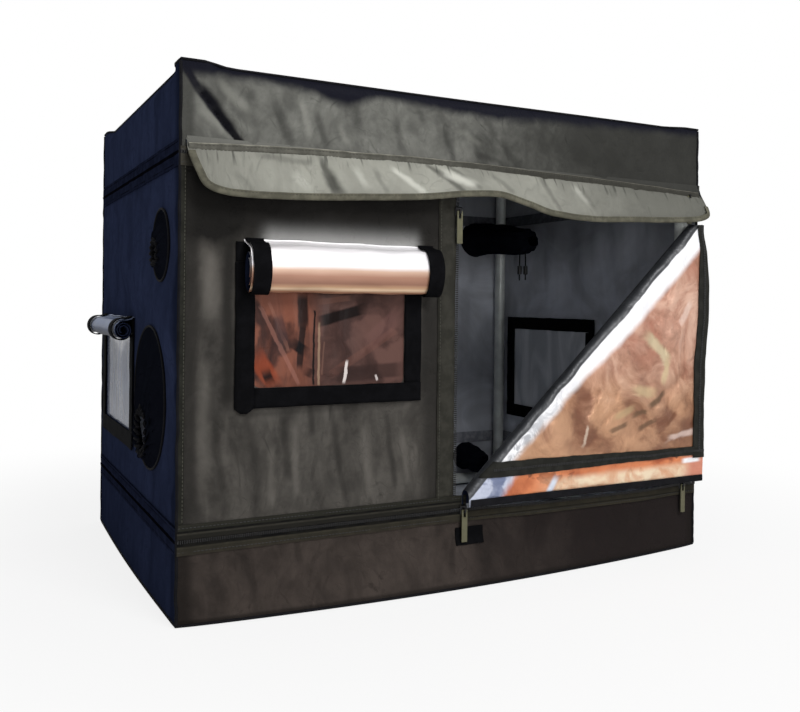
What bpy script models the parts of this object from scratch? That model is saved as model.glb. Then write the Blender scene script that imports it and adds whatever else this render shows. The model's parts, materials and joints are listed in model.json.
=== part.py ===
"""Indoor grow tent: a pole frame in a sewn cover with zips, windows, duct sleeves and a folded-back door.

Metres, +Z up. X runs to the right along the front, Y to the back. The origin is under the tray's middle.
"""
import math

import bmesh
import bpy
from mathutils import Euler, Matrix, Vector

# Overall cloth box
TENT_WIDTH = 0.745
TENT_DEPTH = 0.495
TENT_HEIGHT = 0.600
BASE_ZIP_HEIGHT = 0.090
ROOF_BAND_HEIGHT = 0.098

# Cloth, film and running gaps
CLOTH = 0.0015
FILM = 0.0010
GAP = 0.0003
CUT_OVERRUN = 0.004
WELD = 0.00001

# Pole frame
POLE_DIAMETER = 0.019
POLE_WALL = 0.0012
POLE_SIDES = 20
CONNECTOR_SIZE = 0.026
CONNECTOR_ROUNDING = 0.004
STUB_LENGTH = 0.030
STUB_CLEARANCE = 0.0003
STUB_SIDES = 16

# Zips: a woven tape with a raised row of teeth along its middle. The door's place is a share of the width
ZIP_TAPE_WIDTH = 0.030
ZIP_TAPE_THICKNESS = 0.0008
ZIP_TEETH_WIDTH = 0.0045
ZIP_TEETH_HEIGHT = 0.0018
DOOR_ZIP_SHARE = 0.4544
DOOR_ZIP_TAPE_WIDTH = 0.024

# Zip sliders and their pullers
SLIDER_WIDTH = 0.0100
SLIDER_HEIGHT = 0.0120
SLIDER_THICKNESS = 0.0022
SLIDER_ROUNDING = 0.0010
ARCH_WIDTH = 0.0024
ARCH_WALL = 0.0010
ARCH_MOUTH = 0.0030
PULLER_WIDTH = 0.0078
PULLER_LENGTH = 0.040
PULLER_BAR = 0.0014
PULLER_SLOT_WIDTH = 0.0036
PULLER_SLOT_LENGTH = 0.0080
DOOR_SLIDER_DROP = 0.044
BASE_LEFT_SLIDER_OFFSET = 0.014
BASE_RIGHT_SLIDER_INSET = 0.0265
ROOF_SLIDER_INSET = 0.0205

# Windows: margins of their clear films, and heights. A rise is a share of the wall's spare height below
FRONT_WINDOW_LEFT_MARGIN = 0.0825
FRONT_WINDOW_RIGHT_MARGIN = 0.070
FRONT_WINDOW_HEIGHT = 0.138
FRONT_WINDOW_RISE_SHARE = 0.615
SIDE_WINDOW_PORT_MARGIN = 0.044
SIDE_WINDOW_BACK_MARGIN = 0.0445
SIDE_WINDOW_HEIGHT = 0.128
SIDE_WINDOW_RISE_SHARE = 0.2143
RIGHT_WINDOW_FRONT_MARGIN = 0.2375
RIGHT_WINDOW_BACK_MARGIN = 0.0505
RIGHT_WINDOW_HEIGHT = 0.143
RIGHT_WINDOW_RISE_SHARE = 0.1436
COVER_HEM = 0.022
HOOK_BAND = 0.022
HOOK_THICKNESS = 0.0012
HOOK_ROUNDING = 0.004
FILM_LAP = 0.008

# Rolled-up window covers and their straps
ROLL_OVERHANG = 0.017
ROLL_HALF_HEIGHT = 0.0285
ROLL_HALF_DEPTH = 0.0205
ROLL_CLOTH = 0.0012
ROLL_TURNS = 2.75
ROLL_CORE_SHARE = 0.30
ROLL_STEPS_PER_TURN = 20
ROLL_SEAM_RISE = 0.010
SIDE_ROLL_HALF_HEIGHT = 0.0165
SIDE_ROLL_HALF_DEPTH = 0.0160
SIDE_ROLL_DROP = 0.0095
STRAP_WIDTH = 0.022
STRAP_THICKNESS = 0.0012
STRAP_TAIL = 0.012
STRAP_STEPS = 14

# Door: a square of cloth hinged at the right, its upper left corner folded out over the diagonal
DOOR_CLEARANCE = 0.0065
DOOR_TOP_DROP = 0.050
DOOR_LEFT_MARGIN = 0.022
HINGE_ROOM = 0.0015
FOLD_RADIUS = 0.0100
FOLD_RISE = 0.029
FOLD_STEPS = 10
DOOR_TAPE_WIDTH = 0.020
DOOR_TAPE_THICKNESS = 0.0010
LAP_HEIGHT = 0.034

# Light flap over the roof zip
FLAP_LEFT_OVERHANG = 0.0015
FLAP_RIGHT_OVERHANG = 0.0125
FLAP_SEAM_RISE = 0.0175
FLAP_DROP = 0.0565
FLAP_STANDOFF = 0.025
FLAP_CURL = 0.55
FLAP_WAVE = 0.0030
FLAP_WAVES = 2.5
FLAP_WAVE_START = 0.4
FLAP_CORNER = 0.036
FLAP_END_SHARE = 0.35
FLAP_COLUMNS = 44
FLAP_ROWS = 5

# Ports in the left wall. A middle's height is a share of the way up from the base zip to the roof zip
SMALL_PORT_INSET = 0.0845
SMALL_PORT_SHARE = 0.7718
SMALL_PORT_DIAMETER = 0.062
LARGE_PORT_INSET = 0.1405
LARGE_PORT_SHARE = 0.3374
LARGE_PORT_DIAMETER = 0.150
PORT_FLANGE = 0.010
SMALL_SLEEVE_LENGTH = 0.022
LARGE_SLEEVE_LENGTH = 0.034
SLEEVE_MOUTH_SHARE = 0.78
PORT_STEPS = 28

# Rear duct sleeve, hanging into the tent from the back wall, and the low vent sleeve over the tray's rail
REAR_PORT_INSET = 0.0625
REAR_PORT_DROP = 0.0355
REAR_PORT_DIAMETER = 0.066
REAR_SLEEVE_REACH = 0.185
REAR_SLEEVE_SAG = 0.008
VENT_PORT_INSET = 0.0805
VENT_PORT_RISE = 0.0037
VENT_PORT_ROOM_SHARE = 0.7915
VENT_SLEEVE_REACH = 0.062
VENT_SLEEVE_SAG = 0.004
# Shares of the reach, and of the radius there
REAR_SLEEVE_SHARES = ((0.0, 1.0), (0.25, 1.0), (0.55, 0.97), (0.78, 0.86), (0.90, 0.62), (1.0, 0.50))
VENT_SLEEVE_SHARES = ((0.0, 1.0), (0.40, 0.98), (0.75, 0.90), (1.0, 0.72))
SLEEVE_COLLAR = 0.006
SLEEVE_SIDES = 20

# Drawcords of the rear sleeve and their locks. The routes are set by hand, from the port's middle
CORD_DIAMETER = 0.0022
CORD_SIDES_RESOLUTION = 2
CORD_LOCK_DIAMETER = 0.0076
CORD_LOCK_LENGTH = 0.0150
CORD_LOCK_DROP = 0.0625
CORD_LOCK_SIDES = 16
CORD_LOCK_ROUNDING = 0.0012
CORD_A_ROUTE = (
    (-0.0140, -0.1655, -0.0222), (-0.0140, -0.1655, -0.0257), (-0.0139, -0.1655, -0.0297),
    (-0.0138, -0.1655, -0.0340), (-0.0138, -0.1655, -0.0395), (-0.0138, -0.1655, -0.0455),
    (-0.0138, -0.1655, -0.0515), (-0.0138, -0.1655, -0.0575), (-0.0138, -0.1655, -0.0635),
    (-0.0138, -0.1655, -0.0695), (-0.0138, -0.1655, -0.0755), (-0.0138, -0.1655, -0.0805),
)
CORD_B_ROUTE = (
    (-0.0032, -0.1655, -0.0267), (-0.0031, -0.1657, -0.0294), (-0.0030, -0.1663, -0.0325),
    (-0.0028, -0.1669, -0.0355), (-0.0028, -0.1673, -0.0400), (-0.0028, -0.1675, -0.0455),
    (-0.0028, -0.1675, -0.0515), (-0.0028, -0.1675, -0.0575), (-0.0028, -0.1675, -0.0635),
    (-0.0028, -0.1675, -0.0695), (-0.0028, -0.1675, -0.0755), (-0.0028, -0.1675, -0.0795),
)


def up_the_wall(share):
    """A height, as a share of the way up from the base zip to the roof zip."""
    return BASE_ZIP_HEIGHT + (ROOF_ZIP_HEIGHT - BASE_ZIP_HEIGHT) * share


def window_bottom(height, share):
    """A window's lower edge: its share of the height that it and its hems leave spare between the zips."""
    edge = ZIP_TAPE_WIDTH / 2 + COVER_HEM
    spare = ROOF_ZIP_HEIGHT - BASE_ZIP_HEIGHT - 2 * edge - height
    return BASE_ZIP_HEIGHT + edge + spare * share


# Places that follow from the sizes above
ROOF_ZIP_HEIGHT = TENT_HEIGHT - ROOF_BAND_HEIGHT
FRONT = -TENT_DEPTH / 2
BACK = TENT_DEPTH / 2
LEFT = -TENT_WIDTH / 2
RIGHT = TENT_WIDTH / 2
POLE_RADIUS = POLE_DIAMETER / 2
POLE_INSET = CLOTH + GAP + CONNECTOR_SIZE / 2
POLE_X = RIGHT - POLE_INSET
POLE_Y = BACK - POLE_INSET
POLE_LOW_Z = POLE_INSET
POLE_HIGH_Z = TENT_HEIGHT - POLE_INSET
WALL_BOTTOM = BASE_ZIP_HEIGHT + GAP
WALL_TOP = ROOF_ZIP_HEIGHT - GAP
DOOR_HINGE_X = RIGHT - CLOTH - GAP
DOOR_BOTTOM = BASE_ZIP_HEIGHT + DOOR_CLEARANCE
DOOR_TOP = ROOF_ZIP_HEIGHT - DOOR_TOP_DROP
FLAP_TOP = ROOF_ZIP_HEIGHT + FLAP_SEAM_RISE
DOOR_ZIP_X = LEFT + TENT_WIDTH * DOOR_ZIP_SHARE
DOOR_LEFT = DOOR_ZIP_X + DOOR_LEFT_MARGIN
FLAP_LEFT = LEFT - FLAP_LEFT_OVERHANG
FLAP_RIGHT = RIGHT + FLAP_RIGHT_OVERHANG
SMALL_PORT_Y = FRONT + SMALL_PORT_INSET
SMALL_PORT_Z = up_the_wall(SMALL_PORT_SHARE)
LARGE_PORT_Y = FRONT + LARGE_PORT_INSET
LARGE_PORT_Z = up_the_wall(LARGE_PORT_SHARE)
FRONT_WINDOW_LEFT = LEFT + FRONT_WINDOW_LEFT_MARGIN
FRONT_WINDOW_RIGHT = DOOR_ZIP_X - FRONT_WINDOW_RIGHT_MARGIN
FRONT_WINDOW_BOTTOM = window_bottom(FRONT_WINDOW_HEIGHT, FRONT_WINDOW_RISE_SHARE)
FRONT_WINDOW_TOP = FRONT_WINDOW_BOTTOM + FRONT_WINDOW_HEIGHT
SIDE_WINDOW_FRONT = LARGE_PORT_Y + LARGE_PORT_DIAMETER / 2 + SIDE_WINDOW_PORT_MARGIN
SIDE_WINDOW_BACK = BACK - SIDE_WINDOW_BACK_MARGIN
SIDE_WINDOW_BOTTOM = window_bottom(SIDE_WINDOW_HEIGHT, SIDE_WINDOW_RISE_SHARE)
SIDE_WINDOW_TOP = SIDE_WINDOW_BOTTOM + SIDE_WINDOW_HEIGHT
RIGHT_WINDOW_FRONT = FRONT + RIGHT_WINDOW_FRONT_MARGIN
RIGHT_WINDOW_BACK = BACK - RIGHT_WINDOW_BACK_MARGIN
RIGHT_WINDOW_BOTTOM = window_bottom(RIGHT_WINDOW_HEIGHT, RIGHT_WINDOW_RISE_SHARE)
RIGHT_WINDOW_TOP = RIGHT_WINDOW_BOTTOM + RIGHT_WINDOW_HEIGHT
REAR_PORT_X = RIGHT - REAR_PORT_INSET
REAR_PORT_Z = ROOF_ZIP_HEIGHT - REAR_PORT_DROP
LOW_RAIL_TOP = POLE_LOW_Z + POLE_RADIUS
VENT_PORT_DIAMETER = (BASE_ZIP_HEIGHT - LOW_RAIL_TOP) * VENT_PORT_ROOM_SHARE
VENT_PORT_X = RIGHT - VENT_PORT_INSET
VENT_PORT_Z = LOW_RAIL_TOP + VENT_PORT_RISE + VENT_PORT_DIAMETER / 2
ZIP_FRONT = FRONT - GAP
SLIDER_BACK = ZIP_FRONT - ZIP_TEETH_HEIGHT - GAP
ARCH_DEPTH = ARCH_MOUTH + ARCH_WALL
PULLER_AXIS_DEPTH = SLIDER_THICKNESS + ARCH_MOUTH / 2

PART = bpy.data.collections.new("grow_tent")
CUTTERS = bpy.data.collections.new("cutters")


def clear_scene():
    for obj in list(bpy.data.objects):
        bpy.data.objects.remove(obj, do_unlink=True)
    bpy.context.scene.collection.children.link(PART)
    bpy.context.scene.collection.children.link(CUTTERS)


def material(name, color, roughness, metallic=0.0):
    made = bpy.data.materials.new(name)
    made.use_nodes = True
    made.diffuse_color = (*color, 1.0)
    shader = made.node_tree.nodes["Principled BSDF"]
    shader.inputs["Base Color"].default_value = (*color, 1.0)
    shader.inputs["Roughness"].default_value = roughness
    shader.inputs["Metallic"].default_value = metallic
    return made


def adopt(obj, name, color, roughness, metallic=0.0):
    """Names a finished object, gives it its own material and puts it among the parts."""
    obj.name = name
    obj.data.name = name
    obj.data.materials.clear()
    obj.data.materials.append(material(name, color, roughness, metallic))
    for owner in list(obj.users_collection):
        owner.objects.unlink(obj)
    PART.objects.link(obj)
    return obj


def as_cutter(obj):
    for owner in list(obj.users_collection):
        owner.objects.unlink(obj)
    CUTTERS.objects.link(obj)
    obj.hide_render = True
    obj.display_type = "WIRE"
    return obj


def apply_transform(obj, location=True, rotation=True, scale=True):
    bpy.ops.object.select_all(action="DESELECT")
    obj.select_set(True)
    bpy.context.view_layer.objects.active = obj
    bpy.ops.object.transform_apply(location=location, rotation=rotation, scale=scale)


def box(low, high):
    """A block from its lowest to its highest corner."""
    low, high = Vector(low), Vector(high)
    bpy.ops.mesh.primitive_cube_add(size=1, location=(low + high) / 2)
    obj = bpy.context.object
    obj.scale = high - low
    apply_transform(obj, location=False, rotation=False)
    return obj


def cylinder(radius, depth, centre, turn=(0, 0, 0), sides=POLE_SIDES, fill="NGON"):
    bpy.ops.mesh.primitive_cylinder_add(
        vertices=sides, radius=radius, depth=depth, end_fill_type=fill, location=centre, rotation=turn
    )
    return bpy.context.object


def smooth(obj, angle=math.radians(35)):
    obj.data.shade_smooth()
    obj.data.set_sharp_from_angle(angle=angle)


def boolean(obj, other, operation="DIFFERENCE"):
    modifier = obj.modifiers.new(operation.title(), "BOOLEAN")
    modifier.operation = operation
    modifier.object = as_cutter(other)
    modifier.solver = "EXACT"


def bevel(obj, width, segments=2):
    modifier = obj.modifiers.new("Bevel", "BEVEL")
    modifier.width = width
    modifier.segments = segments
    modifier.limit_method = "ANGLE"


def solidify(obj, thickness, offset=-1.0):
    modifier = obj.modifiers.new("Solidify", "SOLIDIFY")
    modifier.thickness = thickness
    modifier.offset = offset
    modifier.use_even_offset = True


def to_mesh(obj):
    """The object's evaluated shape as a mesh object in the same place, with its loose caps welded."""
    bpy.context.view_layer.update()
    evaluated = obj.evaluated_get(bpy.context.evaluated_depsgraph_get())
    mesh = bpy.data.meshes.new_from_object(evaluated)
    shape = bmesh.new()
    shape.from_mesh(mesh)
    bmesh.ops.remove_doubles(shape, verts=shape.verts, dist=WELD)
    shape.to_mesh(mesh)
    shape.free()
    made = bpy.data.objects.new(obj.name, mesh)
    made.matrix_world = obj.matrix_world
    bpy.context.scene.collection.objects.link(made)
    bpy.data.objects.remove(obj, do_unlink=True)
    return made


def outline(loops, thickness, matrix):
    """A flat plate from closed outlines in its own XY, the later ones being holes, placed by a matrix."""
    curve = bpy.data.curves.new("outline", "CURVE")
    curve.dimensions = "2D"
    curve.fill_mode = "BOTH"
    curve.extrude = thickness / 2
    for loop in loops:
        spline = curve.splines.new("POLY")
        spline.points.add(len(loop) - 1)
        for point, place in zip(spline.points, loop):
            point.co = (place[0], place[1], 0, 1)
        spline.use_cyclic_u = True
    obj = bpy.data.objects.new("outline", curve)
    bpy.context.scene.collection.objects.link(obj)
    obj.matrix_world = matrix
    return to_mesh(obj)


def rounded(left, bottom, right, top, radius, steps=3):
    """A rectangle's outline with round corners."""
    points = []
    corners = ((right, top, 0), (left, top, 1), (left, bottom, 2), (right, bottom, 3))
    for x, y, quarter in corners:
        centre_x = x - math.copysign(radius, x - (left + right) / 2)
        centre_y = y - math.copysign(radius, y - (bottom + top) / 2)
        for step in range(steps + 1):
            angle = (quarter + step / steps) * math.pi / 2
            points.append((centre_x + radius * math.cos(angle), centre_y + radius * math.sin(angle)))
    return points


# An outline drawn on the front, its X to the right and its Y up
def on_front(y):
    return Matrix.Translation((0, y, 0)) @ Euler((math.pi / 2, 0, 0)).to_matrix().to_4x4()


# An outline drawn on a side wall, its X to the back and its Y up
def on_side(x):
    return Matrix.Translation((x, 0, 0)) @ Euler((math.pi / 2, 0, math.pi / 2)).to_matrix().to_4x4()


# Pole frame
FRAME_BLACK = (0.025, 0.025, 0.028)
POLE_WHITE = (0.62, 0.64, 0.66)


def connector_mesh():
    """A three-way corner: a round-edged block with a stub along +X, +Y and +Z that plugs into each pole."""
    core = box([-CONNECTOR_SIZE / 2] * 3, [CONNECTOR_SIZE / 2] * 3)
    bevel(core, CONNECTOR_ROUNDING)
    stub_radius = POLE_RADIUS - POLE_WALL - STUB_CLEARANCE
    middle = STUB_LENGTH / 2
    for axis, turn in ((0, (0, math.pi / 2, 0)), (1, (math.pi / 2, 0, 0)), (2, (0, 0, 0))):
        centre = Vector()
        centre[axis] = middle + CONNECTOR_SIZE / 4
        stub = cylinder(stub_radius, STUB_LENGTH + CONNECTOR_SIZE / 2, centre, turn, STUB_SIDES)
        boolean(core, stub, "UNION")
    made = to_mesh(core)
    mesh = made.data
    bpy.data.objects.remove(made, do_unlink=True)
    return mesh


def corners():
    mesh = connector_mesh()
    for low, level, z in ((True, "lower", POLE_LOW_Z), (False, "upper", POLE_HIGH_Z)):
        for quarter, (depth_name, side_name) in enumerate(
            (("front", "left"), ("front", "right"), ("back", "right"), ("back", "left"))
        ):
            x = POLE_X if side_name == "right" else -POLE_X
            y = POLE_Y if depth_name == "back" else -POLE_Y
            obj = bpy.data.objects.new("corner", mesh.copy())
            bpy.context.scene.collection.objects.link(obj)
            # The upper ones are turned over, which swaps two of their stubs
            turn = Euler((0, 0 if low else math.pi / 2, quarter * math.pi / 2))
            obj.location = (x, y, z)
            obj.rotation_euler = turn
            adopt(obj, f"corner_{level}_{depth_name}_{side_name}", FRAME_BLACK, 0.45)


def pole(name, centre, length, turn):
    obj = cylinder(POLE_RADIUS, length, centre, turn, POLE_SIDES, "NOTHING")
    solidify(obj, POLE_WALL)
    smooth(obj)
    adopt(obj, name, POLE_WHITE, 0.35, 0.2)


def poles():
    seat = CONNECTOR_SIZE + 2 * GAP
    along_x, along_y = (0, math.pi / 2, 0), (math.pi / 2, 0, 0)
    for level, z in (("lower", POLE_LOW_Z), ("upper", POLE_HIGH_Z)):
        for side, y in (("front", -POLE_Y), ("back", POLE_Y)):
            pole(f"rail_{level}_{side}", (0, y, z), 2 * POLE_X - seat, along_x)
        for side, x in (("left", -POLE_X), ("right", POLE_X)):
            pole(f"rail_{level}_{side}", (x, 0, z), 2 * POLE_Y - seat, along_y)
    middle, length = (POLE_LOW_Z + POLE_HIGH_Z) / 2, POLE_HIGH_Z - POLE_LOW_Z - seat
    for side, x in (("left", -POLE_X), ("right", POLE_X)):
        for depth_name, y in (("front", -POLE_Y), ("back", POLE_Y)):
            pole(f"upright_{depth_name}_{side}", (x, y, middle), length, (0, 0, 0))


# Sewn cloth
NAVY_CLOTH = (0.030, 0.032, 0.045)
FRONT_CLOTH = (0.085, 0.078, 0.068)
BASE_CLOTH = (0.058, 0.050, 0.045)
ROOF_CLOTH = (0.160, 0.155, 0.135)


def open_box(bottom, top, open_side):
    """A thin-walled box, open at its top or its bottom."""
    shell = box((LEFT, FRONT, bottom), (RIGHT, BACK, top))
    mesh = bmesh.new()
    mesh.from_mesh(shell.data)
    bmesh.ops.delete(mesh, geom=[f for f in mesh.faces if f.normal.z * open_side > 0.5], context="FACES")
    mesh.to_mesh(shell.data)
    mesh.free()
    solidify(shell, CLOTH)
    return shell


def base_tray():
    tray = open_box(0, BASE_ZIP_HEIGHT, 1)
    depth = CLOTH + 2 * CUT_OVERRUN
    centre = (VENT_PORT_X, BACK - CLOTH / 2, VENT_PORT_Z)
    boolean(tray, cylinder(VENT_PORT_DIAMETER / 2, depth, centre, (math.pi / 2, 0, 0), SLEEVE_SIDES))
    adopt(tray, "base_tray", BASE_CLOTH, 0.7)


def roof_cap():
    adopt(open_box(ROOF_ZIP_HEIGHT, TENT_HEIGHT, -1), "roof_cap", ROOF_CLOTH, 0.65)


def front_panel():
    panel = box((LEFT + CLOTH + GAP, FRONT, WALL_BOTTOM), (DOOR_ZIP_X, FRONT + CLOTH, WALL_TOP))
    low = (FRONT_WINDOW_LEFT, FRONT - CUT_OVERRUN, FRONT_WINDOW_BOTTOM)
    high = (FRONT_WINDOW_RIGHT, FRONT + CLOTH + CUT_OVERRUN, FRONT_WINDOW_TOP)
    boolean(panel, box(low, high))
    adopt(panel, "front_panel", FRONT_CLOTH, 0.68)


def left_wall():
    wall = box((LEFT, FRONT, WALL_BOTTOM), (LEFT + CLOTH, BACK, WALL_TOP))
    low = (LEFT - CUT_OVERRUN, SIDE_WINDOW_FRONT, SIDE_WINDOW_BOTTOM)
    high = (LEFT + CLOTH + CUT_OVERRUN, SIDE_WINDOW_BACK, SIDE_WINDOW_TOP)
    boolean(wall, box(low, high))
    for y, z, size in (
        (SMALL_PORT_Y, SMALL_PORT_Z, SMALL_PORT_DIAMETER),
        (LARGE_PORT_Y, LARGE_PORT_Z, LARGE_PORT_DIAMETER),
    ):
        depth = CLOTH + 2 * CUT_OVERRUN
        boolean(wall, cylinder(size / 2, depth, (LEFT, y, z), (0, math.pi / 2, 0), PORT_STEPS))
    adopt(wall, "left_wall", NAVY_CLOTH, 0.7)


def right_wall():
    wall = box((RIGHT - CLOTH, FRONT, WALL_BOTTOM), (RIGHT, BACK, WALL_TOP))
    low = (RIGHT - CLOTH - CUT_OVERRUN, RIGHT_WINDOW_FRONT, RIGHT_WINDOW_BOTTOM)
    high = (RIGHT + CUT_OVERRUN, RIGHT_WINDOW_BACK, RIGHT_WINDOW_TOP)
    boolean(wall, box(low, high))
    adopt(wall, "right_wall", NAVY_CLOTH, 0.7)


def back_wall():
    inset = CLOTH + GAP
    wall = box((LEFT + inset, BACK - CLOTH, WALL_BOTTOM), (RIGHT - inset, BACK, WALL_TOP))
    depth = CLOTH + 2 * CUT_OVERRUN
    centre = (REAR_PORT_X, BACK - CLOTH / 2, REAR_PORT_Z)
    boolean(wall, cylinder(REAR_PORT_DIAMETER / 2, depth, centre, (math.pi / 2, 0, 0), SLEEVE_SIDES))
    adopt(wall, "back_wall", NAVY_CLOTH, 0.7)


# Windows
FILM_TINT = (0.30, 0.18, 0.12)
HOOK_BLACK = (0.012, 0.012, 0.016)
FOIL = (0.75, 0.62, 0.50)


def film(name, low, high, normal_axis):
    """A clear sheet behind the wall's hole, lapping over its edge."""
    low, high = Vector(low), Vector(high)
    for axis in range(3):
        if axis != normal_axis:
            low[axis] -= FILM_LAP
            high[axis] += FILM_LAP
    adopt(box(low, high), name, FILM_TINT, 0.15)


def films():
    inner = FRONT + CLOTH + GAP
    film(
        "front_window_film",
        (FRONT_WINDOW_LEFT, inner, FRONT_WINDOW_BOTTOM),
        (FRONT_WINDOW_RIGHT, inner + FILM, FRONT_WINDOW_TOP),
        1,
    )
    inner = LEFT + CLOTH + GAP
    film(
        "side_window_film",
        (inner, SIDE_WINDOW_FRONT, SIDE_WINDOW_BOTTOM),
        (inner + FILM, SIDE_WINDOW_BACK, SIDE_WINDOW_TOP),
        0,
    )
    inner = RIGHT - CLOTH - GAP
    film(
        "right_window_film",
        (inner - FILM, RIGHT_WINDOW_FRONT, RIGHT_WINDOW_BOTTOM),
        (inner, RIGHT_WINDOW_BACK, RIGHT_WINDOW_TOP),
        0,
    )


def hook_frame(name, left, bottom, right, top, matrix):
    """The hook-and-loop band round a window, which holds its cover shut."""
    outer = rounded(left - HOOK_BAND, bottom - HOOK_BAND, right + HOOK_BAND, top + HOOK_BAND, HOOK_ROUNDING)
    inner = rounded(left, bottom, right, top, HOOK_ROUNDING)
    adopt(outline((outer, inner), HOOK_THICKNESS, matrix), name, HOOK_BLACK, 0.9)


def hook_frames():
    seat = GAP + HOOK_THICKNESS / 2
    front = (FRONT_WINDOW_LEFT, FRONT_WINDOW_BOTTOM, FRONT_WINDOW_RIGHT, FRONT_WINDOW_TOP)
    hook_frame("front_window_hook_frame", *front, on_front(FRONT - seat))
    side = (SIDE_WINDOW_FRONT, SIDE_WINDOW_BOTTOM, SIDE_WINDOW_BACK, SIDE_WINDOW_TOP)
    hook_frame("side_window_hook_frame", *side, on_side(LEFT - seat))


def right_cover():
    """The right window's cover, pressed shut over its band on the outside."""
    loop = rounded(
        RIGHT_WINDOW_FRONT - COVER_HEM,
        RIGHT_WINDOW_BOTTOM - COVER_HEM,
        RIGHT_WINDOW_BACK + COVER_HEM,
        RIGHT_WINDOW_TOP + COVER_HEM,
        HOOK_ROUNDING,
    )
    cover = outline((loop,), CLOTH, on_side(RIGHT + GAP + CLOTH / 2))
    adopt(cover, "right_window_cover", NAVY_CLOTH, 0.7)


def roll_section(half_depth, half_height):
    """The rolled cover's end view: down behind the roll, then winding in. X outwards, Y up."""
    centre = []
    steps = round(ROLL_TURNS * ROLL_STEPS_PER_TURN)
    middle = half_depth
    centre.append((ROLL_CLOTH / 2, half_height + ROLL_SEAM_RISE))
    for step in range(steps + 1):
        share = 1 - (1 - ROLL_CORE_SHARE) * step / steps
        angle = math.pi - ROLL_CLOTH / half_depth + 2 * math.pi * ROLL_TURNS * step / steps
        reach_x = (half_depth - ROLL_CLOTH / 2) * share
        reach_y = (half_height - ROLL_CLOTH / 2) * share
        centre.append((middle + reach_x * math.cos(angle), reach_y * math.sin(angle)))
    return ribbon(centre, ROLL_CLOTH)


def ribbon(centre, thickness):
    """The outline of a strip of one thickness along a middle line."""
    left_side, right_side = [], []
    for index, point in enumerate(centre):
        before = Vector(centre[max(index - 1, 0)])
        after = Vector(centre[min(index + 1, len(centre) - 1)])
        along = (after - before).normalized()
        across = Vector((-along.y, along.x)) * thickness / 2
        left_side.append(tuple(Vector(point) + across))
        right_side.append(tuple(Vector(point) - across))
    return left_side + right_side[::-1]


# An end view drawn along the front, its X outwards and its Y up, extruded along X
def along_front(x, y, z):
    turn = Matrix(((0, 0, 1, 0), (-1, 0, 0, 0), (0, 1, 0, 0), (0, 0, 0, 1)))
    return Matrix.Translation((x, y, z)) @ turn


# The same drawn along the left wall, extruded along Y
def along_left(x, y, z):
    turn = Matrix(((-1, 0, 0, 0), (0, 0, 1, 0), (0, 1, 0, 0), (0, 0, 0, 1)))
    return Matrix.Translation((x, y, z)) @ turn


def strap_section(half_depth, half_height):
    """A strap's end view: sewn over the cover's seam, round the front of the roll and back to the wall."""
    reach_x = half_depth + GAP + STRAP_THICKNESS / 2
    reach_y = half_height + GAP + STRAP_THICKNESS / 2
    seam_x = ROLL_CLOTH + GAP + STRAP_THICKNESS / 2
    points = [(seam_x, half_height + ROLL_SEAM_RISE), (seam_x, reach_y)]
    for step in range(STRAP_STEPS + 1):
        angle = math.pi / 2 - math.pi * step / STRAP_STEPS
        points.append((half_depth + reach_x * math.cos(angle), reach_y * math.sin(angle)))
    points.append((STRAP_THICKNESS / 2, -reach_y))
    points.append((STRAP_THICKNESS / 2, -reach_y - STRAP_TAIL))
    return ribbon(points, STRAP_THICKNESS)


def rolled_covers():
    seat = HOOK_THICKNESS + 2 * GAP
    left, right = FRONT_WINDOW_LEFT - ROLL_OVERHANG, FRONT_WINDOW_RIGHT + HOOK_BAND + ROLL_OVERHANG
    z = FRONT_WINDOW_TOP + HOOK_BAND - ROLL_HALF_HEIGHT
    section = roll_section(ROLL_HALF_DEPTH, ROLL_HALF_HEIGHT)
    roll = outline((section,), right - left, along_front((left + right) / 2, FRONT - seat, z))
    smooth(roll)
    adopt(roll, "front_window_roll", FOIL, 0.3, 0.5)
    section = strap_section(ROLL_HALF_DEPTH, ROLL_HALF_HEIGHT)
    for side, x in (("left", left + STRAP_WIDTH / 2), ("right", right - STRAP_WIDTH / 2)):
        strap = outline((section,), STRAP_WIDTH, along_front(x, FRONT - seat, z))
        adopt(strap, f"front_roll_strap_{side}", HOOK_BLACK, 0.9)
    front, back = SIDE_WINDOW_FRONT - HOOK_BAND, SIDE_WINDOW_BACK + HOOK_BAND
    z = SIDE_WINDOW_TOP + HOOK_BAND - SIDE_ROLL_DROP
    section = roll_section(SIDE_ROLL_HALF_DEPTH, SIDE_ROLL_HALF_HEIGHT)
    roll = outline((section,), back - front, along_left(LEFT - seat, (front + back) / 2, z))
    smooth(roll)
    adopt(roll, "side_window_roll", FOIL, 0.3, 0.5)
    section = strap_section(SIDE_ROLL_HALF_DEPTH, SIDE_ROLL_HALF_HEIGHT)
    for side, y in (("front", front + STRAP_WIDTH), ("back", back - STRAP_WIDTH)):
        strap = outline((section,), STRAP_WIDTH, along_left(LEFT - seat, y, z))
        adopt(strap, f"side_roll_strap_{side}", HOOK_BLACK, 0.9)


# Duct and cable sleeves
SLEEVE_BLACK = (0.016, 0.016, 0.020)


def within(hole_radius, sides):
    """The radius of what passes through a hole of that many flat sides, with a gap all round."""
    return hole_radius * math.cos(math.pi / sides) - GAP


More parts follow.
